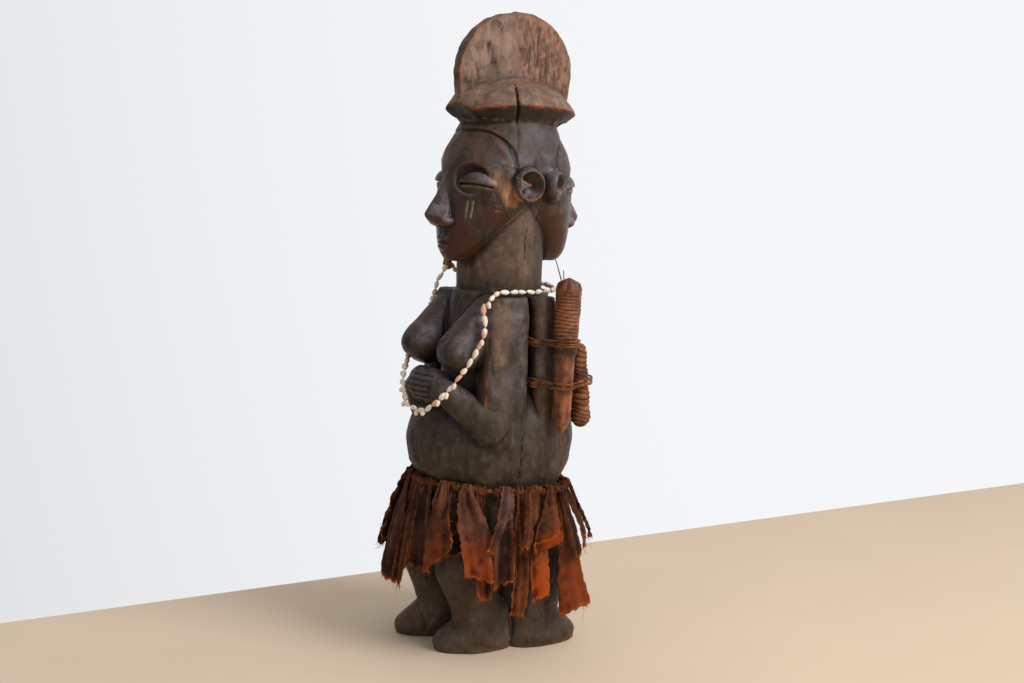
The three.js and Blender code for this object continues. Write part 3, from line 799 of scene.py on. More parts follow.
def crack_mask(p, cavity):
    """1 down in the cracks, less in the shallow ones."""
    cracks = []
    for crack in CRACKS:
        inside = rise(crack_gap(crack, *p.T) / crack["width"], 0.9, 0.4)
        cracks.append(min(1, crack["depth"] / 6) * inside)
    return 0.92 * np.maximum.reduce(cracks) * rise(cavity, 0, -0.5)


def scrape_mask(p):
    """A place on the near temple where the dark crust is scraped off."""
    z = p[:, 2]
    strokes = noise(p, [3.2, 3.2, 14], seed=81) * 0.5 + 0.5
    near = rise(near_line(p, [55, -47, 568], [64, -29, 539], 14), 0.05, 0.7) * rise(z, 531, 536)
    return np.clip(near * (0.35 + 0.8 * strokes) * (0.4 + 0.6 * rise(z, 566, 550)), 0, 1)


def ochre_mask(p, cavity, crest, seam):
    """Where the wood is worn to a bright orange: rubbed edges, chips and the wedges in the ears."""
    x, y, z = p.T
    chips = rise(noise(p, 3.6, seed=71) + 0.6 * noise(p, 1.7, seed=72), 0.1, 0.6)
    fine = rise(noise(p, [2.2, 2.2, 5], seed=76), 0.1, 0.5)
    marks = []
    for side in SIDES:
        tip = [side * (FRONT_EAR["x"] + 5.5), 4 - FRONT_EAR["y"], EAR_Z]
        for lift in (-8.5, 8.5):
            root = [side * (FRONT_EAR["x"] + 5), tip[1] - 19, EAR_Z + lift]
            marks.append(rise(near_line(p, root, tip, 3.2), 0.1, 0.7) * (0.6 + 0.4 * fine))
        marks.append(rise(near_line(p, [side * 66, 24, 580], [side * 68, 34, 576], 6), 0.1, 0.7) * fine)
    # Chips under the scraped temple, and two worn places on the near arm.
    for low_at, high_at, reach in (([44, -64, 531], [62, -34, 531], 8), ([35, -72, 521], [46, -62, 530], 5)):
        marks.append(0.3 * rise(near_line(p, low_at, high_at, reach), 0.1, 0.8) * chips * fine)
    arm = near_line(p, [76, -44, 420], [77, -46, 404], 4) + near_line(p, [70, -62, 345], [72, -60, 305], 5)
    marks.append(0.6 * np.clip(arm, 0, 1) * chips * rise(noise(p, 13, seed=73), -0.1, 0.3))
    # The line under the brim and the feet's edges.
    marks.append(0.6 * fine * rise(np.abs(z - 633.5), 1.6, 0.5) * rise(np.hypot(x, y), 48, 50))
    marks.append(rise(z, 5, 1) * rise(noise(p, 5, seed=74), 0.35, 0.6) * 0.8)
    # Sharp edges of the crest and the brim, and the seams between cuts.
    below_edge = z - BRIM_Z + 1 - brim_lift(x, y)[0]
    edge = rise(cavity, 0.62, 1.1) * rise(np.abs(below_edge), 5, 9)
    marks.append(edge * crest * rise(noise(p, 9, seed=75), 0.0, 0.5) * 0.5)
    marks.append(seam * rise(noise(p, 11, seed=78), 0.25, 0.5) * 0.3)
    marks.append(edge * (1 - crest) * rise(noise(p, 15, seed=77), 0.35, 0.6) * 0.25)
    rim = rise(np.hypot(x / BRIM_HALF_X, (y - BRIM_MID_Y) / BRIM_HALF_Y), 0.93, 0.97)
    brim_edge = rise(np.abs(below_edge - 0.5), 1.8, 0.5) * rim
    marks.append(brim_edge * (0.25 + 0.45 * fine) * rise(noise(p, 24, seed=79), -0.6, 0.1))
    return np.clip(np.maximum.reduce(marks), 0, 1)


def masks(p, n, cavity):
    """Colour masks from 0 to 1, by place."""
    x, y, z = p.T
    blotch = noise(p, 26, seed=61) * 0.6 + noise(p, 9, seed=62) * 0.4
    head = rise(z, 462, 478) * rise(z, 636, 630) * rise(np.hypot(x, y), 50.5, 55)
    trunk = rise(z, 300, 340) * rise(z, 440, 420)
    rim = rise(np.abs(n[:, 1]), 0.6, 0.85) * rise(z, 668, 676)
    flat, weathered = crest_sides(p, n)
    hewn = flat * (1 - weathered)

    # Bare wood on the crest; the brim's downward-facing underside keeps the dark crust as painted shade.
    crest = rise(z, 640, 650) * rise(n[:, 2], -0.3, -0.05) * (1 - 0.55 * rim)
    neck_skin = rise(np.hypot(x, y - NECK_Y), 56, 52.5)
    # The neck is bare wood, less so towards the rear: darker wood there, and painted shade from the rear
    # head.
    neck = rise(z, 440, 462) * neck_skin * rise(z, 560, 530) * (1 - 0.6 * rise(y, 0, 26))
    # The near arm's outer face is lighter: worn wood and a painted highlight.
    arm = rise(near_line(p, [76, -46, 425], [80, -48, 362], 19) * rise(z, 432, 420), 0.0, 0.8)
    behind = rise(x, 44, 62) * rise(z, 250, 290) * rise(z, 440, 425) * rise(y, -8, 4)
    bare_and_painted_light = np.maximum.reduce([crest, 0.5 * neck, 0.85 * arm, 0.1 * behind, 0.2 * rise(z, 140, 20)])
    bare_and_painted_light = np.clip(bare_and_painted_light + 0.3 * blotch * (bare_and_painted_light > 0.02) * (bare_and_painted_light < 0.98), 0, 1)

    # Painted shade under the brim; behind the neck, painted shade together with darker wood.
    painted_shade_under_brim = rise(z, 631, 634) * rise(z - brim_lift(x, y)[0], 650.5, 649) * rise(n[:, 2], 0.0, -0.2)
    shade_and_dark_wood_behind_neck = rise(z, 436, 450) * neck_skin * rise(z, 566, 550) * rise(y, 0, 24)

    # Painted sheen: a bluish reflection painted on what faces the light.
    painted_sheen = rise(0.72 * np.abs(n[:, 0]) + 0.62 * n[:, 2] + 0.22 * blotch, 0.42, 0.95)
    painted_sheen *= np.maximum(head, (0.55 + 0.4 * rise(y, -48, -68)) * trunk * (1 - bare_and_painted_light))
    painted_sheen *= 1 - head * np.maximum(0.8 * rise(z, 580, 602), 0.75 * rise(y, 6, 26) * rise(z, 560, 584))
    return dict(
        bare_and_painted_light=bare_and_painted_light,
        light=crest * rise(y + 9 * blotch, -12, 26) * rise(z, 668, 676),
        painted_sheen=np.clip(painted_sheen, 0, 1),
        warm=head * rise(z, 556, 520) * rise(noise(p, 20, seed=63), -0.5, 0.5),
        brow=head * rise(z, 574, 590) * rise(np.abs(n[:, 1]), 0.45, 0.85),
        ochre=ochre_mask(p, cavity, crest, facets(wandering(p), CREST_CUTS, seed=3)[1] * hewn),
        pale=np.maximum(rise(near_scars(p), 0.5, 0.9) * 0.75, 0.4 * near_lower_lids(p)),
        scrape=scrape_mask(p),
        under=np.maximum(painted_shade_under_brim, 0.5 * shade_and_dark_wood_behind_neck),
        hewn=hewn,
        crack=crack_mask(p, cavity),
        polish=np.maximum(head * (1 - 0.8 * rise(z, 574, 600)), 0.4 * trunk),
    )


# Meshes.


def make_object(name, points, faces, smooth=True):
    mesh = bpy.data.meshes.new(name)
    mesh.from_pydata([tuple(p) for p in points], [], [tuple(int(i) for i in f) for f in faces])
    mesh.validate()
    mesh.polygons.foreach_set("use_smooth", [smooth] * len(mesh.polygons))
    piece = bpy.data.objects.new(name, mesh)
    bpy.context.scene.collection.objects.link(piece)
    return piece


def quad_object(name, points, quads):
    """As make_object, but quick for very large meshes of quads."""
    mesh = bpy.data.meshes.new(name)
    mesh.vertices.add(len(points))
    mesh.vertices.foreach_set("co", np.ascontiguousarray(points, np.float32).ravel())
    mesh.loops.add(4 * len(quads))
    mesh.loops.foreach_set("vertex_index", np.ascontiguousarray(quads, np.int32).ravel())
    mesh.polygons.add(len(quads))
    mesh.polygons.foreach_set("loop_start", np.arange(0, 4 * len(quads), 4, dtype=np.int32))
    mesh.update(calc_edges=True)
    mesh.validate()
    piece = bpy.data.objects.new(name, mesh)
    bpy.context.scene.collection.objects.link(piece)
    return piece


def apply_modifiers(piece):
    """Turns what the modifiers show into the piece's own mesh, and leaves out faces that have no area."""
    graph = bpy.context.evaluated_depsgraph_get()
    mesh = bpy.data.meshes.new_from_object(piece.evaluated_get(graph))
    mesh.validate()
    mesh.polygons.foreach_set("use_smooth", [True] * len(mesh.polygons))
    piece.modifiers.clear()
    piece.data = mesh


def set_values(mesh, name, values):
    layer = mesh.attributes.new(name, "FLOAT", "POINT")
    layer.data.foreach_set("value", np.ascontiguousarray(values, np.float32))


def read_vectors(items, name):
    values = np.empty(3 * len(items), np.float32)
    items.foreach_get(name, values)
    return values.reshape(-1, 3)


# The log is carved inside this box, on a grid of this step, and thinned to about this many triangles.
CARVED_LOW, CARVED_HIGH = [-96, -124, -12], [96, 124, 768]
CARVED_STEP = 1.25
CARVED_TRIANGLES = 186000


def carved_log():
    """The carving, and its surface with tool marks as points and quads."""
    wood = Carving(CARVED_LOW, CARVED_HIGH, CARVED_STEP)
    for carve in (carve_trunk, carve_arms, carve_legs, carve_fingers, carve_head, carve_cracks):
        carve(wood)
    ground, (x, y, z) = wood.window(CARVED_LOW, [*CARVED_HIGH[:2], 6])
    wood.field[ground] = soft_max(wood.field[ground], -z + 0 * x + 0 * y, 1.2)
    points, quads = wood.mesh()
    normals = normals_of(points, quads)
    if (normals[points[:, 2] > HEIGHT - 10][:, 2]).mean() < 0:
        quads = quads[:, ::-1]
        normals = -normals
    points = points + normals * tool_marks(points.astype(np.float32), normals)[:, None]
    return wood, points, quads


def carved_figure():
    """The carved log, thinned most where there is no face, with its colour masks."""
    carving, points, quads = carved_log()
    piece = quad_object("carved_wood", points * MM, quads)
    group = piece.vertex_groups.new(name="keep")
    faces = (points[:, 2] > 470) & (points[:, 2] < 600) & (np.abs(points[:, 1]) > 12)
    group.add(np.nonzero(faces)[0].tolist(), 1.0, "REPLACE")
    fewer = piece.modifiers.new("fewer", "DECIMATE")
    fewer.ratio = min(1.0, CARVED_TRIANGLES / (2 * len(quads)))
    fewer.vertex_group = "keep"
    fewer.invert_vertex_group = True
    fewer.vertex_group_factor = 0.6
    apply_modifiers(piece)
    mesh = piece.data
    p = read_vectors(mesh.vertices, "co") / MM
    n = read_vectors(mesh.vertex_normals, "vector")
    fine = carving.sample(carving.bend(2), p) / 0.42
    broad = carving.sample(carving.bend(8), p) / 2.2
    values = masks(p, n, fine)
    values["hollow"] = np.clip(-fine, -1, 1)
    values["shade"] = np.clip(-broad, -1, 1)
    values["mark"] = np.clip(tool_marks(p, n) / 1.3, -1, 1)
    for name, value in values.items():
        set_values(mesh, name, value)
    return piece


# Materials.


class Shader:
    """A material's node tree, with short calls for the nodes that are used here."""

    def __init__(self, name):
        self.material = bpy.data.materials.new(name)
        self.material.use_nodes = True
        self.tree = self.material.node_tree
        self.main = self.tree.nodes["Principled BSDF"]
        self.place = self.node("ShaderNodeTexCoord").outputs["Object"]

    def node(self, kind, **sockets):
        made = self.tree.nodes.new(kind)
        for key, value in sockets.items():
            self.put(made.inputs[key], value)
        return made

    def put(self, socket, value):
        if isinstance(value, bpy.types.NodeSocket):
            self.tree.links.new(value, socket)
        elif hasattr(value, "__len__") and len(value) == 3 and socket.type == "RGBA":
            socket.default_value = (*value, 1.0)
        else:
            socket.default_value = value

    def attribute(self, name):
        node = self.tree.nodes.new("ShaderNodeAttribute")
        node.attribute_name = name
        return node.outputs["Fac"]

    def scaled(self, x, y, z):
        node = self.tree.nodes.new("ShaderNodeMapping")
        self.put(node.inputs["Vector"], self.place)
        node.inputs["Scale"].default_value = (x, y, z)
        return node.outputs["Vector"]

    def noise(self, scale, detail=4.0, rough=0.55, vector=None):
        node = self.node("ShaderNodeTexNoise", Vector=vector or self.place, Scale=scale, Detail=detail)
        node.inputs["Roughness"].default_value = rough
        return node.outputs["Fac"]

    def pushed_place(self, scale):
        """The object's own coordinates, pushed about by noise."""
        node = self.node("ShaderNodeTexNoise", Vector=self.place, Scale=scale, Detail=2.0)
        push = self.tree.nodes.new("ShaderNodeVectorMath")
        push.operation = "MULTIPLY_ADD"
        self.put(push.inputs[0], node.outputs["Color"])
        push.inputs[1].default_value = (0.012, 0.012, 0.012)
        self.put(push.inputs[2], self.place)
        return push.outputs["Vector"]

    def cells(self, scale, vector=None, feature="F1"):
        node = self.tree.nodes.new("ShaderNodeTexVoronoi")
        node.feature = feature
        self.put(node.inputs["Vector"], vector or self.place)
        node.inputs["Scale"].default_value = scale
        return node.outputs["Distance"]

    def ramp(self, value, low, high, to_low=0.0, to_high=1.0):
        node = self.node("ShaderNodeMapRange", Value=value)
        node.interpolation_type = "SMOOTHSTEP"
        for key, number in zip(("From Min", "From Max", "To Min", "To Max"), (low, high, to_low, to_high)):
            node.inputs[key].default_value = number
        return node.outputs["Result"]

    def maths(self, operation, a, b=0.0):
        node = self.tree.nodes.new("ShaderNodeMath")
        node.operation = operation
        self.put(node.inputs[0], a)
        self.put(node.inputs[1], b)
        return node.outputs[0]

    def mix(self, factor, a, b):
        node = self.tree.nodes.new("ShaderNodeMix")
        node.data_type = "RGBA"
        self.put(node.inputs["Factor"], factor)
        self.put(node.inputs[6], a)
        self.put(node.inputs[7], b)
        return node.outputs[2]

    def bump(self, height, strength, distance, under=None):
        node = self.node("ShaderNodeBump", Height=height, Strength=strength, Distance=distance)
        if under is not None:
            self.put(node.inputs["Normal"], under)
        return node.outputs["Normal"]

    def finish(self, color, roughness, normal, **settings):
        self.put(self.main.inputs["Base Color"], color)
        self.put(self.main.inputs["Roughness"], roughness)
        self.put(self.main.inputs["Normal"], normal)
        for key, value in settings.items():
            self.put(self.main.inputs[key.replace("_", " ")], value)
        return self.material


def wood_material():
    """Dark crusted wood, with bare brown wood on the crest, and patina, painted sheen and painted shade where
    masks say so.
    """
    s = Shader("old_carved_wood")
    bare_and_painted_light, hollow = s.attribute("bare_and_painted_light"), s.attribute("hollow")
    along = s.scaled(1.0, 1.0, 0.12)
    streaks = s.noise(150.0, 6.0, 0.62, along)
    fissures = s.noise(420.0, 4.0, 0.7, s.scaled(1.0, 1.0, 0.06))
    clouds = s.noise(28.0, 5.0, 0.6)
    patches = s.noise(75.0, 5.0, 0.65)
    specks = s.noise(600.0, 3.0, 0.6)
    mottle = s.noise(160.0, 4.0, 0.6, s.scaled(1.0, 1.0, 0.5))

    crust = s.mix(s.ramp(clouds, 0.36, 0.66), (0.0205, 0.0130, 0.0073), (0.058, 0.0355, 0.0195))
    crust = s.mix(s.ramp(mottle, 0.5, 0.7, 0.0, 0.55), crust, (0.092, 0.061, 0.042))
    crust = s.mix(s.ramp(mottle, 0.48, 0.3, 0.0, 0.5), crust, (0.013, 0.009, 0.006))
    crust = s.mix(s.ramp(streaks, 0.45, 0.75, 0.0, 0.45), crust, (0.050, 0.034, 0.021))
    crust = s.mix(s.attribute("warm"), crust, (0.050, 0.0135, 0.0050))
    ruddy = s.maths("MULTIPLY", s.attribute("brow"), s.ramp(patches, 0.4, 0.6, 0.2, 0.9))
    crust = s.mix(ruddy, crust, (0.105, 0.044, 0.028))
    # A painted bluish sheen on what faces the light.
    painted_sheen = s.maths("MULTIPLY", s.attribute("painted_sheen"), s.ramp(patches, 0.38, 0.62, 0.2, 1.0))
    crust = s.mix(painted_sheen, crust, (0.165, 0.132, 0.160))

    # The crest's blade cuts, each a little lighter or darker than the next.
    bare = s.mix(s.ramp(patches, 0.35, 0.66), (0.115, 0.070, 0.048), (0.23, 0.145, 0.100))
    bare = s.mix(s.ramp(streaks, 0.42, 0.7, 0.0, 0.55), bare, (0.105, 0.060, 0.042))
    blade = s.node("ShaderNodeMapping")
    s.put(blade.inputs["Vector"], s.pushed_place(38.0))
    blade.inputs["Scale"].default_value = (18, 66, 50)
    cut = s.tree.nodes.new("ShaderNodeTexVoronoi")
    s.put(cut.inputs["Vector"], blade.outputs["Vector"])
    cut.inputs["Scale"].default_value = 1.0
    hewn = s.attribute("hewn")
    tone = s.maths("MULTIPLY", hewn, s.ramp(cut.outputs["Color"], 0.1, 0.9, 0.0, 0.6))
    bare = s.mix(tone, bare, (0.30, 0.205, 0.155))
    cut_edge = s.cells(1.0, blade.outputs["Vector"], feature="DISTANCE_TO_EDGE")
    edged = s.maths("MULTIPLY", s.ramp(cut_edge, 0.045, 0.0), s.ramp(clouds, 0.4, 0.62, 0.05, 0.7))
    bare = s.mix(s.maths("MULTIPLY", hewn, edged), bare, (0.33, 0.18, 0.11))
    rim = s.maths("MULTIPLY", hewn, s.ramp(cut.outputs["Distance"], 0.5, 0.9, 0.0, 0.22))
    bare = s.mix(rim, bare, (0.075, 0.045, 0.031))

    # The crest's weathered half.
    coarse = s.noise(230.0, 5.0, 0.68, s.scaled(1.0, 1.0, 0.38))
    lighter = s.mix(s.ramp(coarse, 0.36, 0.62), (0.105, 0.045, 0.026), (0.27, 0.145, 0.095))
    lighter = s.mix(s.ramp(streaks, 0.5, 0.7, 0.0, 0.35), lighter, (0.085, 0.045, 0.030))
    lighter = s.mix(s.ramp(s.attribute("mark"), 0.15, 0.6, 0.0, 0.6), lighter, (0.32, 0.20, 0.14))
    lighter = s.mix(s.ramp(s.attribute("mark"), -0.1, -0.6, 0.0, 0.75), lighter, (0.050, 0.030, 0.021))
    bare = s.mix(s.attribute("light"), bare, lighter)

    # Bare wood where the mask says, which also paints the near arm's highlight and keeps painted shade under
    # the brim and on the neck's rear.
    color = s.mix(bare_and_painted_light, crust, bare)
    color = s.mix(s.ramp(hollow, -0.3, -0.95, 0.0, 0.4), color, (0.105, 0.060, 0.038))
    kept = s.maths("SUBTRACT", 1.0, s.maths("MULTIPLY", bare_and_painted_light, 0.7))
    shaded = s.maths("MULTIPLY", s.ramp(s.attribute("shade"), 0.12, 0.8, 0.0, 0.75), kept)
    color = s.mix(shaded, color, (0.010, 0.0065, 0.0045))
    sunk = s.maths("MULTIPLY", s.ramp(hollow, 0.2, 0.8, 0.0, 0.9), kept)
    color = s.mix(sunk, color, (0.007, 0.005, 0.004))
    color = s.mix(s.attribute("crack"), color, (0.006, 0.004, 0.003))
    # Painted shade under the brim, and behind the neck painted shade with darker wood.
    color = s.mix(s.maths("MULTIPLY", s.attribute("under"), 0.9), color, (0.020, 0.0115, 0.0070))
    color = s.mix(s.ramp(fissures, 0.62, 0.76, 0.0, 0.6), color, (0.011, 0.008, 0.006))
    color = s.mix(s.ramp(specks, 0.66, 0.8, 0.0, 0.35), color, (0.13, 0.095, 0.072))
    scraped = s.mix(s.ramp(streaks, 0.4, 0.62), (0.24, 0.095, 0.038), (0.60, 0.36, 0.21))
    color = s.mix(s.attribute("scrape"), color, scraped)
    color = s.mix(s.attribute("pale"), color, (0.40, 0.33, 0.27))
    color = s.mix(s.attribute("ochre"), color, (0.42, 0.110, 0.026))

    polish = s.maths("MULTIPLY", s.attribute("polish"), 0.2)
    rough = s.maths("SUBTRACT", s.ramp(clouds, 0.3, 0.7, 0.5, 0.64), polish)
    rough = s.maths("ADD", rough, s.maths("MULTIPLY", bare_and_painted_light, 0.1))
    normal = s.bump(streaks, 0.22, 0.0006)
    normal = s.bump(fissures, 0.3, 0.0005, normal)
    normal = s.bump(s.cells(900.0), 0.1, 0.0003, normal)
    normal = s.bump(mottle, 0.35, 0.0014, normal)
    normal = s.bump(s.maths("MULTIPLY", coarse, s.attribute("light")), 0.6, 0.0016, normal)
    normal = s.bump(s.maths("MULTIPLY", cut.outputs["Distance"], hewn), 0.8, 0.0022, normal)
    return s.finish(color, rough, normal, Specular_IOR_Level=0.28)


# The weave repeats after this length, in m.
THREAD_PITCH = 0.0012


def cloth_material():
    """Coarse rust-brown cloth, with painted shade in the folds and painted highlights on their ridges, and
    orange where it is frayed or worn thin.
    """
    s = Shader("torn_cloth")
    thin, fray, fold_shading, shade = (s.attribute(name) for name in ("thin", "fray", "fold_shading", "shade"))
    warp, weft = (
        s.maths("SINE", s.maths("MULTIPLY", s.attribute(name), 2 * math.pi / THREAD_PITCH))
        for name in ("across", "down")
    )
    weave = s.maths("MULTIPLY", warp, weft)
    clouds = s.noise(42.0, 5.0, 0.66)
    stains = s.noise(110.0, 5.0, 0.65)
    slubs = s.noise(800.0, 3.0, 0.5, s.scaled(1.0, 1.0, 0.2))
    dark = s.mix(s.ramp(clouds, 0.36, 0.66), (0.017, 0.007, 0.005), (0.046, 0.015, 0.008))
    rust = s.mix(s.ramp(clouds, 0.36, 0.66), (0.058, 0.018, 0.008), (0.165, 0.048, 0.014))
    color = s.mix(s.ramp(s.maths("ADD", shade, s.maths("MULTIPLY", stains, 0.8)), 0.55, 1.2), dark, rust)
    dull = s.mix(s.ramp(clouds, 0.36, 0.66), (0.034, 0.019, 0.016), (0.120, 0.061, 0.046))
    color = s.mix(s.attribute("grey"), color, dull)
    color = s.mix(s.maths("MULTIPLY", thin, 0.94), color, (0.33, 0.044, 0.0015))
    color = s.mix(s.ramp(stains, 0.56, 0.72, 0.0, 0.55), color, (0.024, 0.013, 0.011))
    color = s.mix(s.ramp(slubs, 0.55, 0.75, 0.0, 0.3), color, (0.16, 0.058, 0.024))
    # Painted shade in the folds' valleys and a painted highlight on their ridges.
    color = s.mix(s.ramp(fold_shading, -0.05, -0.75, 0.0, 0.8), color, (0.012, 0.006, 0.004))
    color = s.mix(s.ramp(fold_shading, 0.3, 0.9, 0.0, 0.4), color, (0.17, 0.055, 0.020))
    frayed = s.maths("MULTIPLY", fray, s.ramp(stains, 0.42, 0.62, 0.15, 1.0))
    color = s.mix(frayed, color, (0.40, 0.095, 0.016))
    normal = s.bump(weave, 0.35, 0.00025)
    normal = s.bump(slubs, 0.35, 0.0004, normal)
    normal = s.bump(stains, 0.45, 0.001, normal)
    return s.finish(
        color, s.ramp(clouds, 0.3, 0.7, 0.8, 0.93), normal, Specular_IOR_Level=0.1, Sheen_Weight=0.02,
        Sheen_Roughness=0.5, Sheen_Tint=(0.9, 0.45, 0.25),
    )


def shell_material():
    """Mottled shell with darker sutures. A tone above 1 is the seed's brown."""
    s = Shader("sea_shell")
    tone = s.attribute("tone")
    mottled = s.noise(260.0, 4.0, 0.6)
    bands = s.attribute("band")
    color = s.mix(s.ramp(tone, 0.2, 0.9), (0.80, 0.70, 0.58), (0.72, 0.37, 0.22))
    color = s.mix(s.ramp(mottled, 0.5, 0.7, 0.0, 0.6), color, (0.88, 0.80, 0.70))
    color = s.mix(s.ramp(bands, 0.3, 0.9, 0.0, 0.55), color, (0.42, 0.22, 0.13))
    color = s.mix(s.ramp(s.noise(520.0), 0.6, 0.75, 0.0, 0.5), color, (0.30, 0.20, 0.14))
    color = s.mix(s.ramp(tone, 1.5, 2.5), color, (0.20, 0.075, 0.022))
    normal = s.bump(mottled, 0.2, 0.0003)
    return s.finish(color, s.ramp(mottled, 0.3, 0.7, 0.3, 0.5), normal)


def fibre_material(name, dark, light):
    """Twisted plant fibre. The strands' own relief is in the mesh; fine fibres are here."""
    s = Shader(name)
    clouds = s.noise(60.0, 5.0, 0.65)
    fibres = s.noise(900.0, 3.0, 0.6)
    color = s.mix(s.ramp(clouds, 0.35, 0.68), dark, light)
    color = s.mix(s.ramp(fibres, 0.5, 0.75, 0.0, 0.5), color, tuple(min(1.0, 1.7 * c) for c in light))
    # Painted shade in the gaps between the turns.
    color = s.mix(s.maths("MULTIPLY", s.attribute("gap"), 0.9), color, tuple(0.3 * c for c in dark))
    normal = s.bump(fibres, 0.5, 0.0005)
    return s.finish(color, s.ramp(clouds, 0.3, 0.7, 0.6, 0.8), normal, Specular_IOR_Level=0.2)


def bundle_wood_material():
    """Red-brown wood under its wraps, paler on worn ridges, with painted shade in the gaps."""
    s = Shader("bundle_wood")
    clouds = s.noise(48.0, 5.0, 0.65)
    grain = s.noise(420.0, 5.0, 0.65, s.scaled(1.0, 1.0, 0.08))
    worn = s.attribute("worn")
    color = s.mix(s.ramp(clouds, 0.34, 0.66), (0.065, 0.021, 0.009), (0.220, 0.074, 0.027))
    color = s.mix(s.ramp(grain, 0.5, 0.7, 0.0, 0.7), color, (0.05, 0.022, 0.014))
    color = s.mix(s.maths("MULTIPLY", worn, s.ramp(clouds, 0.4, 0.6, 0.3, 1.0)), color, (0.34, 0.12, 0.045))
    # Painted shade in the gaps between the turns.
    color = s.mix(s.maths("MULTIPLY", s.attribute("gap"), 0.9), color, (0.016, 0.007, 0.005))
    normal = s.bump(grain, 0.5, 0.0007)
    return s.finish(color, s.ramp(clouds, 0.3, 0.7, 0.4, 0.6), normal, Specular_IOR_Level=0.3)


def plain_material(name, color, rough, spread=0.3, scale=220.0):
    s = Shader(name)
    marks = s.noise(scale, 4.0, 0.6)
    darker, lighter = (tuple(c * share for c in color) for share in (1 - spread, 1 + spread))
    tone = s.mix(s.ramp(marks, 0.3, 0.7), darker, lighter)
    return s.finish(tone, rough, s.bump(marks, 0.2, 0.0005))


def dress(piece, material, slot_name, *nodes):
    """Gives a piece its look, its body and the solids that it replaces. The slot name is not used."""
    piece.data.materials.clear()
    piece.data.materials.append(material)
    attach(piece, "root")
    if nodes:
        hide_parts(*nodes)
    return piece


# Swept forms.


def spline(points, count, closed=False):
    """Evenly spaced places along a smooth curve through the points."""
    p = np.array(points, float)
    n = len(p)
    fine = []
    spans = n if closed else n - 1
    for i in range(spans):
        if closed:
            a, b, c, d = (p[(i + k) % n] for k in (-1, 0, 1, 2))
        else:
            a, b, c, d = (p[min(max(i + k, 0), n - 1)] for k in (-1, 0, 1, 2))
        for t in np.linspace(0, 1, 24, endpoint=False):
            square = (2 * a - 5 * b + 4 * c - d) * t**2
            cube = (3 * b - a - 3 * c + d) * t**3
            fine.append(0.5 * (2 * b + (c - a) * t + square + cube))
    fine.append(p[0] if closed else p[-1])
    fine = np.array(fine)
    run = np.r_[0, np.cumsum(np.linalg.norm(np.diff(fine, axis=0), axis=1))]
    wanted = np.linspace(0, run[-1], count + 1 if closed else count)
    if closed:
        wanted = wanted[:-1]
    return np.stack([np.interp(wanted, run, fine[:, i]) for i in range(3)], 1), run[-1]


def sides_of(path, closed=False):
    """Tangent and two cross directions along a path, turning as little as possible."""
    if closed:
        tangent = np.roll(path, -1, 0) - np.roll(path, 1, 0)
    else:
        tangent = np.gradient(path, axis=0)
    tangent /= np.linalg.norm(tangent, axis=1)[:, None]
    up = np.array([0.0, 0.0, 1.0]) if abs(tangent[0][2]) < 0.9 else np.array([1.0, 0.0, 0.0])
    first = []
    last = up
    for t in tangent:
        last = last - t * (last @ t)
        last /= np.linalg.norm(last)
        first.append(last)
    first = np.array(first)
    return tangent, first, np.cross(tangent, first)


def ring_faces(rows, sides, closed=False):
    """Quads between rings of points, with a lid on each end unless the rings close on themselves."""
    faces = []
    for i in range(rows if closed else rows - 1):
        n = (i + 1) % rows
        for j in range(sides):
            k = (j + 1) % sides
            faces.append((i * sides + j, i * sides + k, n * sides + k, n * sides + j))
    if not closed:
        faces.append(tuple(range(sides))[::-1])
        faces.append(tuple((rows - 1) * sides + j for j in range(sides)))
    return faces


def tube(path, radius, sides=6, closed=False):
    """Points and quads of a tube; radius is one number or one per place."""
    path = np.asarray(path, float)
    radius = np.broadcast_to(np.asarray(radius, float), (len(path),))
    _, a, b = sides_of(path, closed)
    angle = np.linspace(0, 2 * math.pi, sides, endpoint=False)
    ring = np.cos(angle)[None, :, None] * a[:, None] + np.sin(angle)[None, :, None] * b[:, None]
    points = (path[:, None] + radius[:, None, None] * ring).reshape(-1, 3)
    return points, ring_faces(len(path), sides, closed)


def twisted(path, radius, strands=2, pitch=6.0, sides=6, closed=False):
    """A cord of strands laid round each other along a path, as a list of tubes."""
    path = np.asarray(path, float)
    _, a, b = sides_of(path, closed)
    run = np.r_[0, np.cumsum(np.linalg.norm(np.diff(path, axis=0), axis=1))]
    turns = run / pitch
    if closed:
        whole = run[-1] + np.linalg.norm(path[0] - path[-1])
        turns = run * max(1, round(whole / pitch)) / whole
    tubes = []
    for s in range(strands):
        angle = 2 * math.pi * (turns + s / strands)
        offset = 0.52 * radius * (np.cos(angle)[:, None] * a + np.sin(angle)[:, None] * b)
        tubes.append(tube(path + offset, 0.56 * radius, sides, closed))
    return tubes


def joined(parts):
    """Several lots of points and faces as one."""
    points, faces = [], []
    base = 0
    for p, f in parts:
        points.append(np.asarray(p, float))
        faces += [tuple(base + i for i in face) for face in f]
        base += len(p)
    return np.concatenate(points), faces


# Necklace.

# The thread's route in mm, closed on itself.
NECKLACE_ROUTE = [
    (58, 31, 436), (60, 14, 436), (60, -5, 436), (59, -23, 436), (58, -42, 435), (65, -57, 429),
    (62, -64, 419), (67, -65, 407), (69, -66, 395), (70, -70, 383), (69, -76, 370), (64, -84, 353),
    (58, -92, 338), (53, -100, 325), (50, -109, 315), (44, -116, 306), (34, -119, 300), (22, -121, 297),
    (10, -122, 298), (-1, -124, 300), (-11, -121, 307), (-22, -117, 318), (-35, -109, 330), (-49, -98, 341),
    (-62, -87, 349), (-74, -71, 361), (-80, -56, 380), (-78, -50, 402), (-66, -52, 420), (-57, -55, 434),
    (-51, -51, 449), (-51, -42, 459), (-58, -26, 450), (-61, -4, 438), (-58, 26, 436), (-46, 46, 438),
    (-22, 56, 439), (0, 60, 439), (22, 57, 439), (46, 46, 438),
]


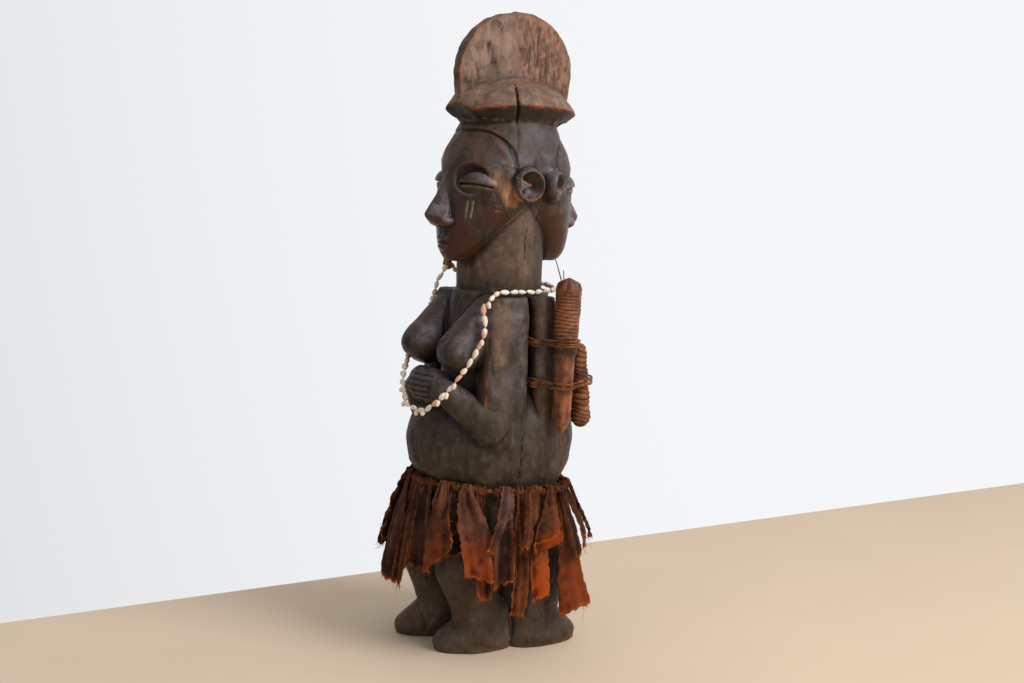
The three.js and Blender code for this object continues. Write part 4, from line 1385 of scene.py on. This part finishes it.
def sea_snail(length, width, blunt=0.55):
    """A pointed whorled shell along X, with the share of suture at each point."""
    rows, sides = 17, 14
    points, bands = [], []
    for i in range(rows):
        t = i / (rows - 1)
        body = max(0.0, math.sin(math.pi * (0.03 + 0.95 * t) ** 0.85)) ** blunt
        for j in range(sides):
            angle = 2 * math.pi * j / sides
            whorl = (t * 4.2 + angle / (2 * math.pi)) % 1.0
            suture = max(0.0, 1 - min(whorl, 1 - whorl) / 0.16)
            lip = 0.22 * max(0.0, math.cos(angle - 1.2)) ** 6 * (1 if 0.25 < t < 0.85 else 0)
            r = width / 2 * max(0.12, body) * (1 - 0.13 * suture - lip)
            points.append((length * (t - 0.5), r * math.cos(angle), r * math.sin(angle)))
            bands.append(suture)
    return np.array(points), ring_faces(rows, sides), np.array(bands)


def necklace():
    """Shells strung end to end, with small round ones hanging from the thread between them."""
    rng = np.random.default_rng(7)
    line, length = spline(NECKLACE_ROUTE, 900, closed=True)
    tangent, a, b = sides_of(line, closed=True)
    parts, tone, band = [], [], []

    def put(shell, at, axes, color):
        points, faces, bands = shell
        parts.append((at + points @ axes, faces))
        tone.append(np.full(len(points), color))
        band.append(bands)

    # The thread is bare here, on the near shoulder.
    bare = np.array([64.0, -61.0, 424.0])
    run = 0.0
    while run < length - 9:
        size = rng.uniform(7.5, 13.8)
        i = int((run + size / 2) * len(line) / length) % len(line)
        middle = line[i]
        if np.linalg.norm(middle - bare) < 6:
            run += 3
            continue
        turn = rng.uniform(0, 2 * math.pi)
        forward = tangent[i] + rng.uniform(-0.2, 0.2) * a[i] + rng.uniform(-0.2, 0.2) * b[i]
        forward /= np.linalg.norm(forward)
        side = math.cos(turn) * a[i] + math.sin(turn) * b[i]
        side -= forward * (side @ forward)
        side /= np.linalg.norm(side)
        axes = np.stack([forward * rng.choice([-1, 1]), side, np.cross(forward, side)])
        far = middle[0] < -55 and middle[2] < 430
        share = [0.1, 0.2, 0.3, 0.4] if far else [0.4, 0.3, 0.2, 0.1]
        color = float(rng.choice([0.05, 0.25, 0.5, 0.95], p=share))
        put(sea_snail(size, rng.uniform(5.2, 7.6)), middle, axes, color)
        if rng.uniform() < 0.62 and 290 < middle[2] < 433:
            out = np.array([middle[0], middle[1], 0.0]) / np.hypot(middle[0], middle[1])
            hang = 0.5 * out + rng.uniform(-0.5, 0.5) * tangent[i] + np.array([0, 0, -0.9])
            hang /= np.linalg.norm(hang)
            i2 = int((run + size + 1.0) * len(line) / length) % len(line)
            cross = np.cross(hang, tangent[i2])
            cross /= np.linalg.norm(cross)
            small = sea_snail(rng.uniform(6.2, 7.6), rng.uniform(5.4, 6.6), 0.42)
            put(small, line[i2] + hang * 4.4, np.stack([hang, cross, np.cross(hang, cross)]), color * 0.5)
            run += 1.6
        run += size * 0.96 + rng.uniform(0.0, 1.4)
    # The one brown seed, on the front figure's right shoulder.
    put(sea_snail(17, 12.5), np.array([-51, -44, 461.0]), np.eye(3)[[2, 0, 1]], 3.0)
    thread = tube(line[::4], 0.55, 5, closed=True)
    parts.append(thread)
    tone.append(np.zeros(len(thread[0])))
    band.append(np.zeros(len(thread[0])))
    points, faces = joined(parts)
    piece = make_object("shells", points * MM, faces)
    set_values(piece.data, "tone", np.concatenate(tone))
    set_values(piece.data, "band", np.concatenate(band))
    return piece


# Skirt. A place is given by its bearing round the log, 0 at +X and 90 at +Y, and by how far it is
# outside the cord.

WAIST = dict(z=200.0, dip=0.07, y=-4.0, wide=77.0, deep=94.0, cord=3.2)
KNOT_TALL = 8.0
INNER = dict(out=4.2, flare=18.0)
OUTER = dict(out=8.6, flare=30.0)

# A strip swings out by this share of its flare, quickly at first, and starts this share above the cord.
FLARE_SHARE, FALL_POWER = 0.9, 1.3
OVER_TOP = 0.085

# edge holds rows of share down the strip, left edge and right edge, in mm from the strip's middle.
SHOWN_STRIPS = [
    dict(OUTER, bearing=-121, top=5, end=5, length=88, flare=31, style="knot"),
    dict(INNER, bearing=-112, top=12, end=22, length=124, shade=0.1, grey=0.3),
    dict(OUTER, bearing=-106, lean=3, top=14, end=29, length=126, shade=0.2, grey=0.35),
    dict(INNER, bearing=-97, lean=2, top=14, end=24, length=106, shade=0.0, grey=0.4),
    dict(OUTER, bearing=-87, lean=1, top=12, end=23, length=126, shade=0.3),
    dict(INNER, bearing=-78, lean=3, top=14, end=26, length=104, shade=0.0, grey=0.4),
    dict(
        OUTER, bearing=-62, lean=3, length=86, slant=-42, end=42, top=13, shade=0.75, grey=0.35, thin=0.2,
        edge=[(0, -5, 5), (0.12, -8, 8), (0.4, -13, 13), (0.8, -19, 22), (1, -21, 24)],
    ),
    dict(INNER, bearing=-54, lean=2, top=14, end=26, length=80, shade=0.0, grey=0.4),
    dict(
        OUTER, bearing=-44, lean=10, length=102, end=35, top=15, slant=2, shade=0.75, grey=0.5, thin=0.45,
        edge=[(0, -5, 4), (0.08, -10, 7), (0.2, -14, 11), (0.38, -15, 21), (0.55, -15, 20), (1, -17, 18)],
    ),
    dict(INNER, bearing=-37, lean=7, top=14, end=22, length=128, thin=0.25, shade=0.3),
    dict(
        OUTER, bearing=-17, lean=-11, top=17, end=7, length=68, grey=1.0, shade=0.5,
        edge=[(0, -5, 6), (0.1, -8, 9), (0.3, -8, 9), (1, -3, 3)],
    ),
    dict(INNER, bearing=-19, lean=1, top=14, end=28, length=112, shade=0.0, grey=0.5),
    dict(
        INNER, bearing=-6, lean=0, top=12, end=22, length=150, thin=0.12, shade=0.75,
        edge=[(0, -4, 4), (0.3, -9, 9), (0.6, -9, 11), (0.75, -10, 10), (1, -12, 6)],
    ),
    dict(OUTER, bearing=0, lean=-7, top=9, end=13, length=62, shade=0.7),
    dict(INNER, bearing=8, lean=0, top=14, end=32, length=130, thin=1.0, shade=0.9, slant=-3),
    dict(
        OUTER, bearing=18, lean=-15, top=14, end=36, length=80, slant=-18, thin=0.6, shade=0.6,
        turned_up=1,
    ),
    dict(INNER, bearing=22, lean=0, top=10, end=12, length=66, shade=0.1),
    dict(OUTER, bearing=30, lean=2, top=9, end=11, length=82, shade=0.2),
    dict(
        INNER, bearing=33, lean=1, top=14, end=42, length=150, flare=32, slant=-14, tilt=34, thin=0.4,
        shade=0.55,
        edge=[(0, -5, 5), (0.2, -9, 9), (0.5, -15, 14), (0.8, -19, 17), (1, -17, 24)],
    ),
    dict(OUTER, bearing=40, lean=1, top=11, end=13, length=58, shade=0.3),
    dict(OUTER, bearing=50, lean=3, top=5, end=5, length=62, flare=34, style="knot"),
]


HIDDEN_COUNT = 13
HIDDEN_FROM, HIDDEN_TO = 62, 226


def hidden_strips():
    """Plainer strips on the side that the photo doesn't show."""
    strips = []
    for i in range(HIDDEN_COUNT):
        layer = OUTER if i % 2 == 0 else INNER
        bearing = HIDDEN_FROM + (HIDDEN_TO - HIDDEN_FROM) * i / (HIDDEN_COUNT - 1)
        length = 80 if i < 3 else 118 + 24 * math.sin(1.3 * i + 1)
        flare = layer["flare"] + (-3 if i < 2 else 5)
        end = 26 + 5 * math.sin(2.1 * i)
        strips.append(dict(layer, bearing=bearing, top=14, end=end, length=length, flare=flare))
    return strips


def waist_point(bearing, out, above):
    """A place by its bearing in degrees, how far outside the cord it is and how far above it."""
    a = np.radians(bearing)
    y = WAIST["y"] + (WAIST["deep"] + out) * np.sin(a)
    return np.stack([(WAIST["wide"] + out) * np.cos(a), y, WAIST["z"] + above - WAIST["dip"] * y], -1)


def strip_outline(strip, rng, below):
    """Left and right edges in mm from the strip's middle, narrow at the knot and open below."""
    if "edge" in strip:
        rows = np.array(strip["edge"], float)
    else:
        top, end = strip["top"], strip["end"]
        open_at = rng.uniform(0.3, 0.6)
        skew = rng.uniform(-0.12, 0.12, 4) * end
        rows = np.array(
            [
                (0, -0.3 * top, 0.3 * top),
                (0.1, -0.48 * top, 0.48 * top),
                (open_at, -0.5 * end + skew[0], 0.5 * end + skew[1]),
                (1, -0.5 * end + skew[2], 0.5 * end + skew[3]),
            ]
        )
    fine = np.linspace(0, 1, 81)
    kernel = np.hanning(9)
    kernel /= kernel.sum()
    edges = []
    for column in (1, 2):
        line = np.interp(fine, rows[:, 0], rows[:, column])
        smooth = np.convolve(np.pad(line, 4, mode="edge"), kernel, "valid")
        edges.append(np.interp(below, fine, smooth))
    return edges


def ragged_line(rng, count, step, size):
    """A line of torn steps: count places, a new height about every step places."""
    marks = np.arange(0, count + 2 * step, step)
    return np.interp(np.arange(count), marks, rng.normal(0, size, len(marks)))


def strip_piece(index, strip):
    """A torn strip: narrow at its knot, with a few loose folds and ragged edges."""
    rng = np.random.default_rng(100 + index)
    knotted = strip.get("style") == "knot"
    across, down = (11, 44) if knotted else (23, 60)
    u = np.linspace(-0.5, 0.5, across)[None, :] + np.zeros((down, 1))
    v = np.linspace(-OVER_TOP, 1.0, down)[:, None] + np.zeros((1, across))
    below = np.clip(v, 0, 1)
    fall = 1 - (1 - below) ** FALL_POWER
    length = strip["length"] + 2
    lean = strip.get("lean", 0) + rng.uniform(-1.0, 1.0)
    slant = strip.get("slant", rng.uniform(-0.35, 0.35) * strip["end"])
    # Torn edges run unevenly, and the hem is cut askew.
    left_rag = ragged_line(rng, down, 2, 0.8) + ragged_line(rng, down, 7, 0.8)
    right_rag = ragged_line(rng, down, 2, 0.8) + ragged_line(rng, down, 7, 0.8)
    rag = np.where(u > 0, right_rag[:, None], left_rag[:, None])
    rag = rag * (np.abs(u) * 2) ** 5 * rise(below, 0.02, 0.2)
    hem = 2.0 * np.sin(rng.uniform(2, 6) * u + rng.uniform(0, 6))
    hem = (hem + ragged_line(rng, across, 2, 1.1)[None, :]) * rise(below, 0.7, 1.0)
    left, right = strip_outline(strip, rng, below)
    width = right - left
    place = 0.5 * (left + right) + u * width
    # A few folds run down from the knot and open out.
    phase = rng.uniform(0, 6.28)
    gather = rise(below, 0.0, 0.45)
    few = rng.uniform(0.9, 1.7)
    swing = rng.uniform(-1.5, 1.5) * below
    tight = (1 - gather) * (
        1.5 * np.sin(2 * math.pi * few * u + phase) + 0.9 * np.sin(2 * math.pi * (few + 1.3) * u + 2 * phase)
    )
    wide = gather * min(1.0, strip["end"] / 18) * (
        rng.uniform(0.8, 2.4) * np.sin(2 * math.pi * rng.uniform(0.6, 1.3) * u + phase + swing)
        + rng.uniform(0.4, 1.1) * np.sin(2 * math.pi * 2.3 * u + 2 * phase - 2.2 * below)
    )
    right_curl, left_curl = rng.uniform(-2.0, 4.0, 2)
    curl = below * (right_curl * np.clip(2 * u, 0, 1) ** 3 + left_curl * np.clip(-2 * u, 0, 1) ** 3)
    tilt = rng.uniform(-0.35, 0.35) * rise(below, 0.05, 0.6)
    if "tilt" in strip:
        tilt = math.radians(strip["tilt"]) * below
    sway = rng.uniform(-1.0, 1.0) * np.sin(rng.uniform(2.5, 5) * below)
    belly = rng.uniform(-1.5, 2.0) * np.sin(math.pi * below)
    spread = strip["out"] + FLARE_SHARE * strip["flare"] * fall + tight + wide + curl + belly
    spread = spread + place * np.sin(tilt)
    if knotted:
        ball = np.exp(-(((below - 0.93) / 0.035) ** 2))
        waist = np.exp(-(((below - 0.87) / 0.03) ** 2))
        place = place * (1 + 1.5 * ball - 0.45 * waist)
        spread = spread + 2.2 * np.sin(2 * math.pi * u + 26 * below) + ball * 2.4 * np.cos(2 * math.pi * u)
    drop = length * below
    if strip.get("turned_up"):
        # The hem is rolled outwards and up.
        turned = np.clip((below - 0.78) / 0.22, 0, 1)
        around = math.pi * np.clip(turned / 0.4, 0, 1)
        back_up = np.clip(turned - 0.4, 0, 1)
        drop = length * np.minimum(below, 0.78) + 2.2 * np.sin(around) - 0.24 * length * back_up
        spread = spread + 2.2 * (1 - np.cos(around)) + 2.0 * back_up
    middle = strip["bearing"] + lean * below + sway
    a = np.radians(middle)
    reach = np.hypot((WAIST["wide"] + spread) * np.sin(a), (WAIST["deep"] + spread) * np.cos(a))
    turn = np.degrees((place * np.cos(tilt) + rag) / reach)
    above = KNOT_TALL - 2 - drop - slant * u * below + hem
    # The top goes over the cord and a little way down behind it.
    over = np.clip(-v / OVER_TOP, 0, 1)
    spread = spread - over * (spread + 1.0)
    above = above + 3.0 * np.sin(math.pi * over) - 8 * over**2
    points = waist_point(middle + turn, spread, above)
    flat = points.reshape(-1, 3).astype(np.float32)
    crumple = 1.1 * noise(flat, 9.0, seed=300 + index) + 0.5 * noise(flat, 4.0, seed=400 + index)
    outward = unit(flat * [1, 1, 0])
    flat = flat + outward * (crumple * rise(below, 0, 0.3).ravel())[:, None]
    points = flat.reshape(points.shape)
    faces = []
    for i in range(down - 1):
        for j in range(across - 1):
            k = i * across + j
            faces.append((k, k + across, k + across + 1, k + 1))
    piece = make_object(f"cloth_{index + 1:02d}", flat * MM, faces)
    edge = np.maximum(rise(np.abs(u), 0.44, 0.5), rise(below, 0.955, 1.0))
    thin = strip.get("thin", 0.0) * rise(below, 0.45, 0.8)
    # The folds' relief, for the cloth's painted shade and painted highlights.
    relief = (wide + tight + curl + crumple.reshape(u.shape)) / 3.0
    values = dict(
        fray=edge * (0.3 + 0.7 * rise(below, 0.25, 0.9)), thin=thin + 0 * u, across=u * strip["end"] * MM,
        down=below * length * MM, shade=strip.get("shade", rng.uniform(0, 1)) + 0 * u,
        grey=strip.get("grey", 0.0) * rise(below, 0.95, 0.5) + 0 * u, fold_shading=np.clip(relief, -1, 1),
    )
    for name, value in values.items():
        set_values(piece.data, name, value.ravel())
    shell = piece.modifiers.new("thick", "SOLIDIFY")
    shell.thickness = 0.0007
    shell.offset = 0
    apply_modifiers(piece)
    return piece, points, cloth_area(points)


def knot_parts(strip, index):
    """The strip's knot on the cord: two crumpled rolls laid across each other."""
    rng = np.random.default_rng(700 + index)
    half = math.degrees(0.55 * strip["top"] / 84) + 0.6
    lift = strip["out"] - INNER["out"]
    parts = []
    for turn in (-1, 1):
        size = rng.uniform(2.6, 4.3)
        skew = rng.uniform(1.5, 5.0) * turn
        marks = []
        for step in np.linspace(-1, 1, 5):
            bulge = math.cos(step * math.pi / 2)
            marks.append(
                waist_point(
                    strip["bearing"] + step * half + rng.uniform(-0.4, 0.4), 1.5 + (3.6 + 0.7 * lift) * bulge,
                    skew * step + rng.uniform(-0.8, 0.8) + 1.0,
                )
            )
        path, _ = spline(marks, 18)
        taper = size * (0.55 + 0.45 * np.sin(np.linspace(0.1, math.pi - 0.1, 18)))
        points, faces = tube(path, taper, 12)
        points = points.astype(np.float32)
        outward = points - np.repeat(path, 12, axis=0)
        outward /= np.maximum(np.linalg.norm(outward, axis=1), 1e-3)[:, None]
        wrinkle = 0.9 * noise(points, [3.2, 3.2, 3.2], seed=800 + index)
        wrinkle += 0.5 * noise(points, 1.7, seed=900 + index)
        parts.append((points + outward * wrinkle[:, None], faces))
    return parts


def cloth_area(points):
    """The area of a grid of points, as two triangles to a cell."""
    a = points[1:, :-1] - points[:-1, :-1]
    b = points[:-1, 1:] - points[:-1, :-1]
    c = points[1:, :-1] - points[1:, 1:]
    d = points[:-1, 1:] - points[1:, 1:]
    return 0.5 * sum(np.linalg.norm(np.cross(*pair), axis=-1).sum() for pair in ((a, b), (c, d)))


def loose_threads(grids):
    """Frayed threads at the torn ends and sides of the strips."""
    rng = np.random.default_rng(5)
    parts = []
    for points in grids:
        down, across = points.shape[:2]
        out = points[-1, across // 2] * [1, 1, 0]
        out /= np.linalg.norm(out)
        for _ in range(46):
            if rng.uniform() < 0.5:
                start = points[-1, rng.integers(0, across)]
                heading = np.array([0, 0, -1.0]) + 0.35 * rng.normal(size=3) + 0.15 * out
                length = rng.choice([1.6, 2.6, 4.0, 8.0], p=[0.4, 0.3, 0.2, 0.1])
            else:
                j = rng.choice([0, across - 1])
                i = rng.integers(down // 8, down)
                start = points[i, j]
                sideways = points[i, j] - points[i, across // 2]
                heading = sideways / np.linalg.norm(sideways) + 0.45 * rng.normal(size=3) - [0, 0, 0.5]
                length = rng.choice([1.0, 1.8, 3.0, 6.0], p=[0.45, 0.3, 0.2, 0.05])
            bend = rng.normal(size=3) * 0.35
            t = np.linspace(0, 1, 4)[:, None]
            path = start + length * rng.uniform(0.7, 1.2) * (heading * t + bend * t * t)
            parts.append(tube(path, 0.17, 3))
    points, faces = joined(parts)
    return make_object("cloth_threads", points * MM, faces)


def skirt():
    cloth = cloth_material()
    grids, strips = [], SHOWN_STRIPS + hidden_strips()
    pieces, knots = [], []
    for index, strip in enumerate(strips):
        piece, points, area = strip_piece(index, strip)
        dress(piece, cloth, "skirt_cloth", f"skirt_strip_{index + 1:02d}")
        grids.append(points)
        pieces.append((piece, points, area))
        knots += knot_parts(strip, index)
    threads = loose_threads(grids)
    dress(threads, cloth, "skirt_cloth")
    points, faces = joined(knots)
    knotted = dress(make_object("cloth_knots", points * MM, faces), cloth, "skirt_cloth")
    for extra, fray in ((threads, 0.85), (knotted, 0.0)):
        count = len(extra.data.vertices)
        spots = np.arange(count)
        for name, value in (("fray", fray), ("thin", 0), ("shade", 0.6), ("grey", 0), ("fold_shading", 0)):
            set_values(extra.data, name, np.full(count, value))
        set_values(extra.data, "across", spots % 12 * 0.0006)
        set_values(extra.data, "down", spots * 0.00004)
    for piece, grid, area in pieces:
        # The flat cut's size is measured along the cloth: its widest row and its longest column.
        wide = np.linalg.norm(np.diff(grid, axis=1), axis=2).sum(1).max() * MM
        long = np.linalg.norm(np.diff(grid, axis=0), axis=2).sum(0).max() * MM
        wide = max(wide, 0.0101)


def waist_rope():
    bearing = np.arange(0, 360, 4.0)
    path = waist_point(bearing, 0.0, 0.0)
    parts = twisted(path, WAIST["cord"] * 0.95, strands=3, pitch=9, sides=6, closed=True)
    points, faces = joined(parts)
    return make_object("waist_rope", points * MM, faces)


# Bundle.

STICK = dict(top=(88, 37, 455), foot=(91, 33, 271), radius=14.6)
PACKET = dict(top=(73, 68, 372), foot=(78, 72, 281), radius=8.0, foot_radius=12.0)


def along(bar, z):
    """Where a bar's middle line is at a height."""
    t = (z - bar["foot"][2]) / (bar["top"][2] - bar["foot"][2])
    return np.array([bar["foot"][i] + t * (bar["top"][i] - bar["foot"][i]) for i in range(2)])


def stick_radius(t):
    """Half width of the stick by share of its length from the foot."""
    return np.interp(
        t,
        [0, 0.03, 0.08, 0.16, 0.5, 0.52, 0.6, 0.93, 0.97, 1.0],
        [0.5, 5.8, 10.2, 10.8, 11.6, 13.2, 14.1, 15.2, 12.6, 0.5],
    )


def bar_rings(bar, t, sides):
    """Rings round a bar at shares t from its foot: share, angle, middle and direction of each point."""
    foot, top = np.array(bar["foot"], float), np.array(bar["top"], float)
    path = foot + t[:, None] * (top - foot)
    _, a, b = sides_of(path)
    share, angle = np.meshgrid(t, np.linspace(0, 2 * math.pi, sides, endpoint=False), indexing="ij")
    outward = np.cos(angle)[..., None] * a[:, None] + np.sin(angle)[..., None] * b[:, None]
    return share, angle, path[:, None], outward


def stick():
    """Plain and faceted below, wrapped with cord above, with a pleated dome on top."""
    t = np.linspace(0, 1, 150)
    t = np.where(t > 0.9, 0.9 + 0.1 * np.sin((t - 0.9) / 0.1 * math.pi / 2), t)
    T, A, middle, outward = bar_rings(STICK, t, 40)
    r = stick_radius(T)
    z = T * (STICK["top"][2] - STICK["foot"][2])
    wrapped = rise(T, 0.55, 0.58) * rise(T, 0.93, 0.90)
    uneven = 0.55 * np.sin(A + z / 11) + 0.3 * np.sin(3 * A + z / 6.3) + 0.5 * np.sin(z / 8.7)
    turns = np.abs(np.sin(math.pi * (z / 4.3 + A / (2 * math.pi)) + uneven))
    r += wrapped * (1.3 * turns**0.6 - 0.8 + 0.5 * np.sin(z / 5.1 + 1) * np.sin(z / 13.0))
    pleats = np.sin(9 * A + 1.3 * np.sin(2 * A)) * rise(T, 0.9, 0.95)
    r += 0.7 * pleats
    lower = rise(T, 0.5, 0.44)
    facet = np.cos(np.mod(A * 6 / (2 * math.pi), 1.0) * math.pi - math.pi / 2)
    r += lower * (0.5 * facet - 0.2 * np.sin(2 * A + 1))
    plain = rise(T, 0.5, 0.53) * rise(T, 0.57, 0.55)
    r += plain * 0.8 * np.sin(A * 2 + 1.0)
    points = (middle + r[..., None] * outward).reshape(-1, 3)
    piece = make_object("wrapped_stick", points * MM, ring_faces(*T.shape))
    worn = wrapped * turns * 0.6 + lower * 0.55 * facet + 0.6 * rise(T, 0.06, 0.02)
    # Darker in the gaps between the turns and the pleats, as painted shade, and on a band just below the
    # wraps.
    gap = wrapped * rise(turns, 0.55, 0.1) + 0.7 * rise(pleats, -0.2, -0.9)
    gap += 0.8 * rise(T, 0.5, 0.53) * rise(T, 0.56, 0.54)
    set_values(piece.data, "gap", np.clip(gap, 0, 1).ravel())
    set_values(piece.data, "worn", np.clip(worn, 0, 1).ravel())
    return piece


def packet():
    """A packet bound all round with cord, its turns a little askew."""
    length = math.dist(PACKET["foot"], PACKET["top"])
    T, A, middle, outward = bar_rings(PACKET, np.linspace(-0.085, 1.035, 110), 28)
    belly = PACKET["foot_radius"] + (PACKET["radius"] - PACKET["foot_radius"]) * np.clip(T, 0, 1) ** 1.5
    caps = np.sqrt(np.clip(1 - np.clip((0.06 - T) / 0.145, 0, 1) ** 2, 0, 1))
    caps *= np.sqrt(np.clip(1 - np.clip((T - 0.97) / 0.065, 0, 1) ** 2, 0, 1))
    uneven = 0.35 * np.sin(A + 0.8) + 0.22 * np.sin(2 * A + T * length / 7) + 0.25 * np.sin(T * length / 9)
    turns = np.abs(np.sin(math.pi * (T * length / 5.6 + A / (2 * math.pi) + uneven)))
    r = np.maximum((belly - 1.5) * caps + 1.7 * turns**0.6 * caps + 0.5 * np.sin(T * 23), 0.3)
    points = (middle + r[..., None] * outward).reshape(-1, 3)
    piece = make_object("cord_packet", points * MM, ring_faces(*T.shape))
    # The gaps between the turns, for painted shade.
    set_values(piece.data, "gap", rise(turns, 0.6, 0.1).ravel())
    return piece


def binding(name, z, tall, with_packet, turns_of_cord):
    """Turns of cord through the slot behind the arm and round the bundle."""
    sx, sy = along(STICK, z)
    px, py = along(PACKET, z)
    r = STICK["radius"] + 0.7
    q = PACKET["foot_radius"] + 0.7
    if with_packet:
        back = [(px - 0.9 * q, py - 2), (px - 0.4 * q, py + q), (px + 0.6 * q, py + 0.8 * q)]
    else:
        back = [(sx - 0.9 * r, sy + 0.6 * r), (sx - 0.3 * r, sy + r), (sx + 0.4 * r, sy + 0.9 * r)]
    route = [(SLOT_X + 1.2, 10), (SLOT_X + 1.2, 22), (SLOT_X + 1.2, 34)] + back
    route += [(sx + 0.95 * r, sy + 0.35 * r), (sx + 0.9 * r, sy - 0.5 * r)]
    route += [(77, 10), (72, 4.6), (63, 4.4), (55, 4.6)]
    parts = []
    for turn in range(turns_of_cord):
        level = z + tall * (turn / (turns_of_cord - 1) - 0.5) * 0.8
        sway = 1.3 * math.sin(2.1 * turn + z)
        ring = []
        for i, (x, y) in enumerate(route):
            lift = 1.1 * math.sin(2.2 * turn + 1.3 * i) + (sway if i in (7, 8) else 0)
            ring.append((x, y, level + lift))
        path, _ = spline(ring, 150, closed=True)
        out = unit((path - path.mean(0)) * [1, 1, 0])
        path = path + out * (0.8 + 0.5 * (turn % 2))
        parts += twisted(path, 1.35, strands=2, pitch=5.5, sides=6, closed=True)
    points, faces = joined(parts)
    return make_object(name, points * MM, faces)


def quill(name, start, end, bow):
    """A thin bowed quill, tapering to its end."""
    t = np.linspace(0, 1, 16)[:, None]
    path = np.array(start) + t * (np.array(end, float) - start) + np.sin(math.pi * t) * np.array(bow)
    points, faces = tube(path, 0.85 * (1 - 0.45 * t[:, 0] ** 3), 8)
    return make_object(name, points * MM, faces)


# The pieces.

wood = wood_material()
dress(carved_figure(), wood, "dark_wood", "carved_figure")

dress(necklace(), shell_material(), "shell", "shell_necklace")

cord = fibre_material("waist_fibre", (0.045, 0.02, 0.013), (0.13, 0.05, 0.025))
dress(waist_rope(), cord, "fibre_cord", "waist_cord")
skirt()

dress(stick(), bundle_wood_material(), "bundle_wood", "bundle_stick")
packet_fibre = fibre_material("packet_fibre", (0.060, 0.024, 0.012), (0.31, 0.115, 0.045))
dress(packet(), packet_fibre, "fibre_cord", "bundle_packet")
binding_fibre = fibre_material("binding_fibre", (0.045, 0.02, 0.011), (0.32, 0.115, 0.036))
dress(binding("cord_turns_upper", 378, 8, False, 4), binding_fibre, "fibre_cord", "upper_binding")
dress(binding("cord_turns_lower", 330, 9, True, 5), binding_fibre, "fibre_cord", "lower_binding")
quill_look = plain_material("quill_horn", (0.05, 0.045, 0.035), 0.42)
dress(quill("quill_a", (66, 50, 424), (53, 41, 474), (0.8, 0.4, 0)), quill_look, "quill", "quill_long")
dress(quill("quill_b", (68, 46, 420), (66, 44, 462), (0.3, 0.5, 0)), quill_look, "quill", "quill_short")


# Stage, light and camera.


def plane(name, points, color, rough=0.9):
    piece = make_object(name, np.array(points, float), [(0, 1, 2, 3)], smooth=False)
    piece.data.materials.append(plain_material(name + "_paint", color, rough, 0.02, 3.0))
    return piece


# The floor ends a little way behind the figure, where the photograph's table does.
plane("floor", [(-0.53, -8, 0), (8, -8, 0), (8, 8, 0), (-0.05, 8, 0)], (0.64, 0.50, 0.36))


def area_light(name, at, toward, size, power, color):
    data = bpy.data.lights.new(name, "AREA")
    data.shape = "SQUARE"
    data.size = size
    data.energy = power
    data.color = color
    lamp = bpy.data.objects.new(name, data)
    lamp.location = at
    lamp.rotation_euler = (Vector(toward) - Vector(at)).to_track_quat("-Z", "Y").to_euler()
    bpy.context.scene.collection.objects.link(lamp)


area_light("key", (2.0, 0.9, 1.9), (0, 0, 0.4), 1.4, 58, (1.0, 0.98, 0.95))
area_light("fill", (0.2, -2.6, 1.3), (0, 0, 0.4), 2.0, 9, (0.95, 0.97, 1.0))


def studio_world():
    """Soft light from all round, stronger from behind and from the right."""
    world = bpy.data.worlds.new("studio")
    world.use_nodes = True
    tree = world.node_tree
    back = tree.nodes["Background"]
    back.inputs["Color"].default_value = (0.96, 0.975, 1.0, 1)
    place = tree.nodes.new("ShaderNodeTexCoord")
    dot = tree.nodes.new("ShaderNodeVectorMath")
    dot.operation = "DOT_PRODUCT"
    dot.inputs[1].default_value = (-0.1, 0.97, 0.15)
    level = tree.nodes.new("ShaderNodeMapRange")
    level.interpolation_type = "SMOOTHSTEP"
    for key, number in (("From Min", -0.8), ("From Max", 0.8), ("To Min", 0.30), ("To Max", 0.95)):
        level.inputs[key].default_value = number
    tree.links.new(place.outputs["Generated"], dot.inputs[0])
    tree.links.new(dot.outputs["Value"], level.inputs["Value"])
    tree.links.new(level.outputs["Result"], back.inputs["Strength"])
    bpy.context.scene.world = world
    bpy.context.scene.view_settings.view_transform = "Standard"


studio_world()


FOCAL_PX, PHOTO_WIDTH_PX = 1422, 1024
CAMERA_AT = (1.4072, -0.9645, 0.6007)


def photo_camera():
    """The photograph's view: 55 degrees round from the front, a little from above, turned slightly."""
    az, pitch, roll = (math.radians(v) for v in (55.0, 7.7, -2.7))
    ahead = Vector((-math.sin(az) * math.cos(pitch), math.cos(az) * math.cos(pitch), -math.sin(pitch)))
    right = Vector((math.cos(az), math.sin(az), 0))
    up = right.cross(ahead)
    turned_right = math.cos(roll) * right - math.sin(roll) * up
    turned_up = math.sin(roll) * right + math.cos(roll) * up
    data = bpy.data.cameras.new("photo_view")
    data.sensor_width = 36
    data.lens = FOCAL_PX / PHOTO_WIDTH_PX * data.sensor_width
    data.clip_end = 40
    camera = bpy.data.objects.new("photo_view", data)
    rotation = Matrix((turned_right, turned_up, -ahead)).transposed().to_4x4()
    camera.matrix_world = Matrix.Translation(CAMERA_AT) @ rotation
    bpy.context.scene.collection.objects.link(camera)
    bpy.context.scene.camera = camera


photo_camera()
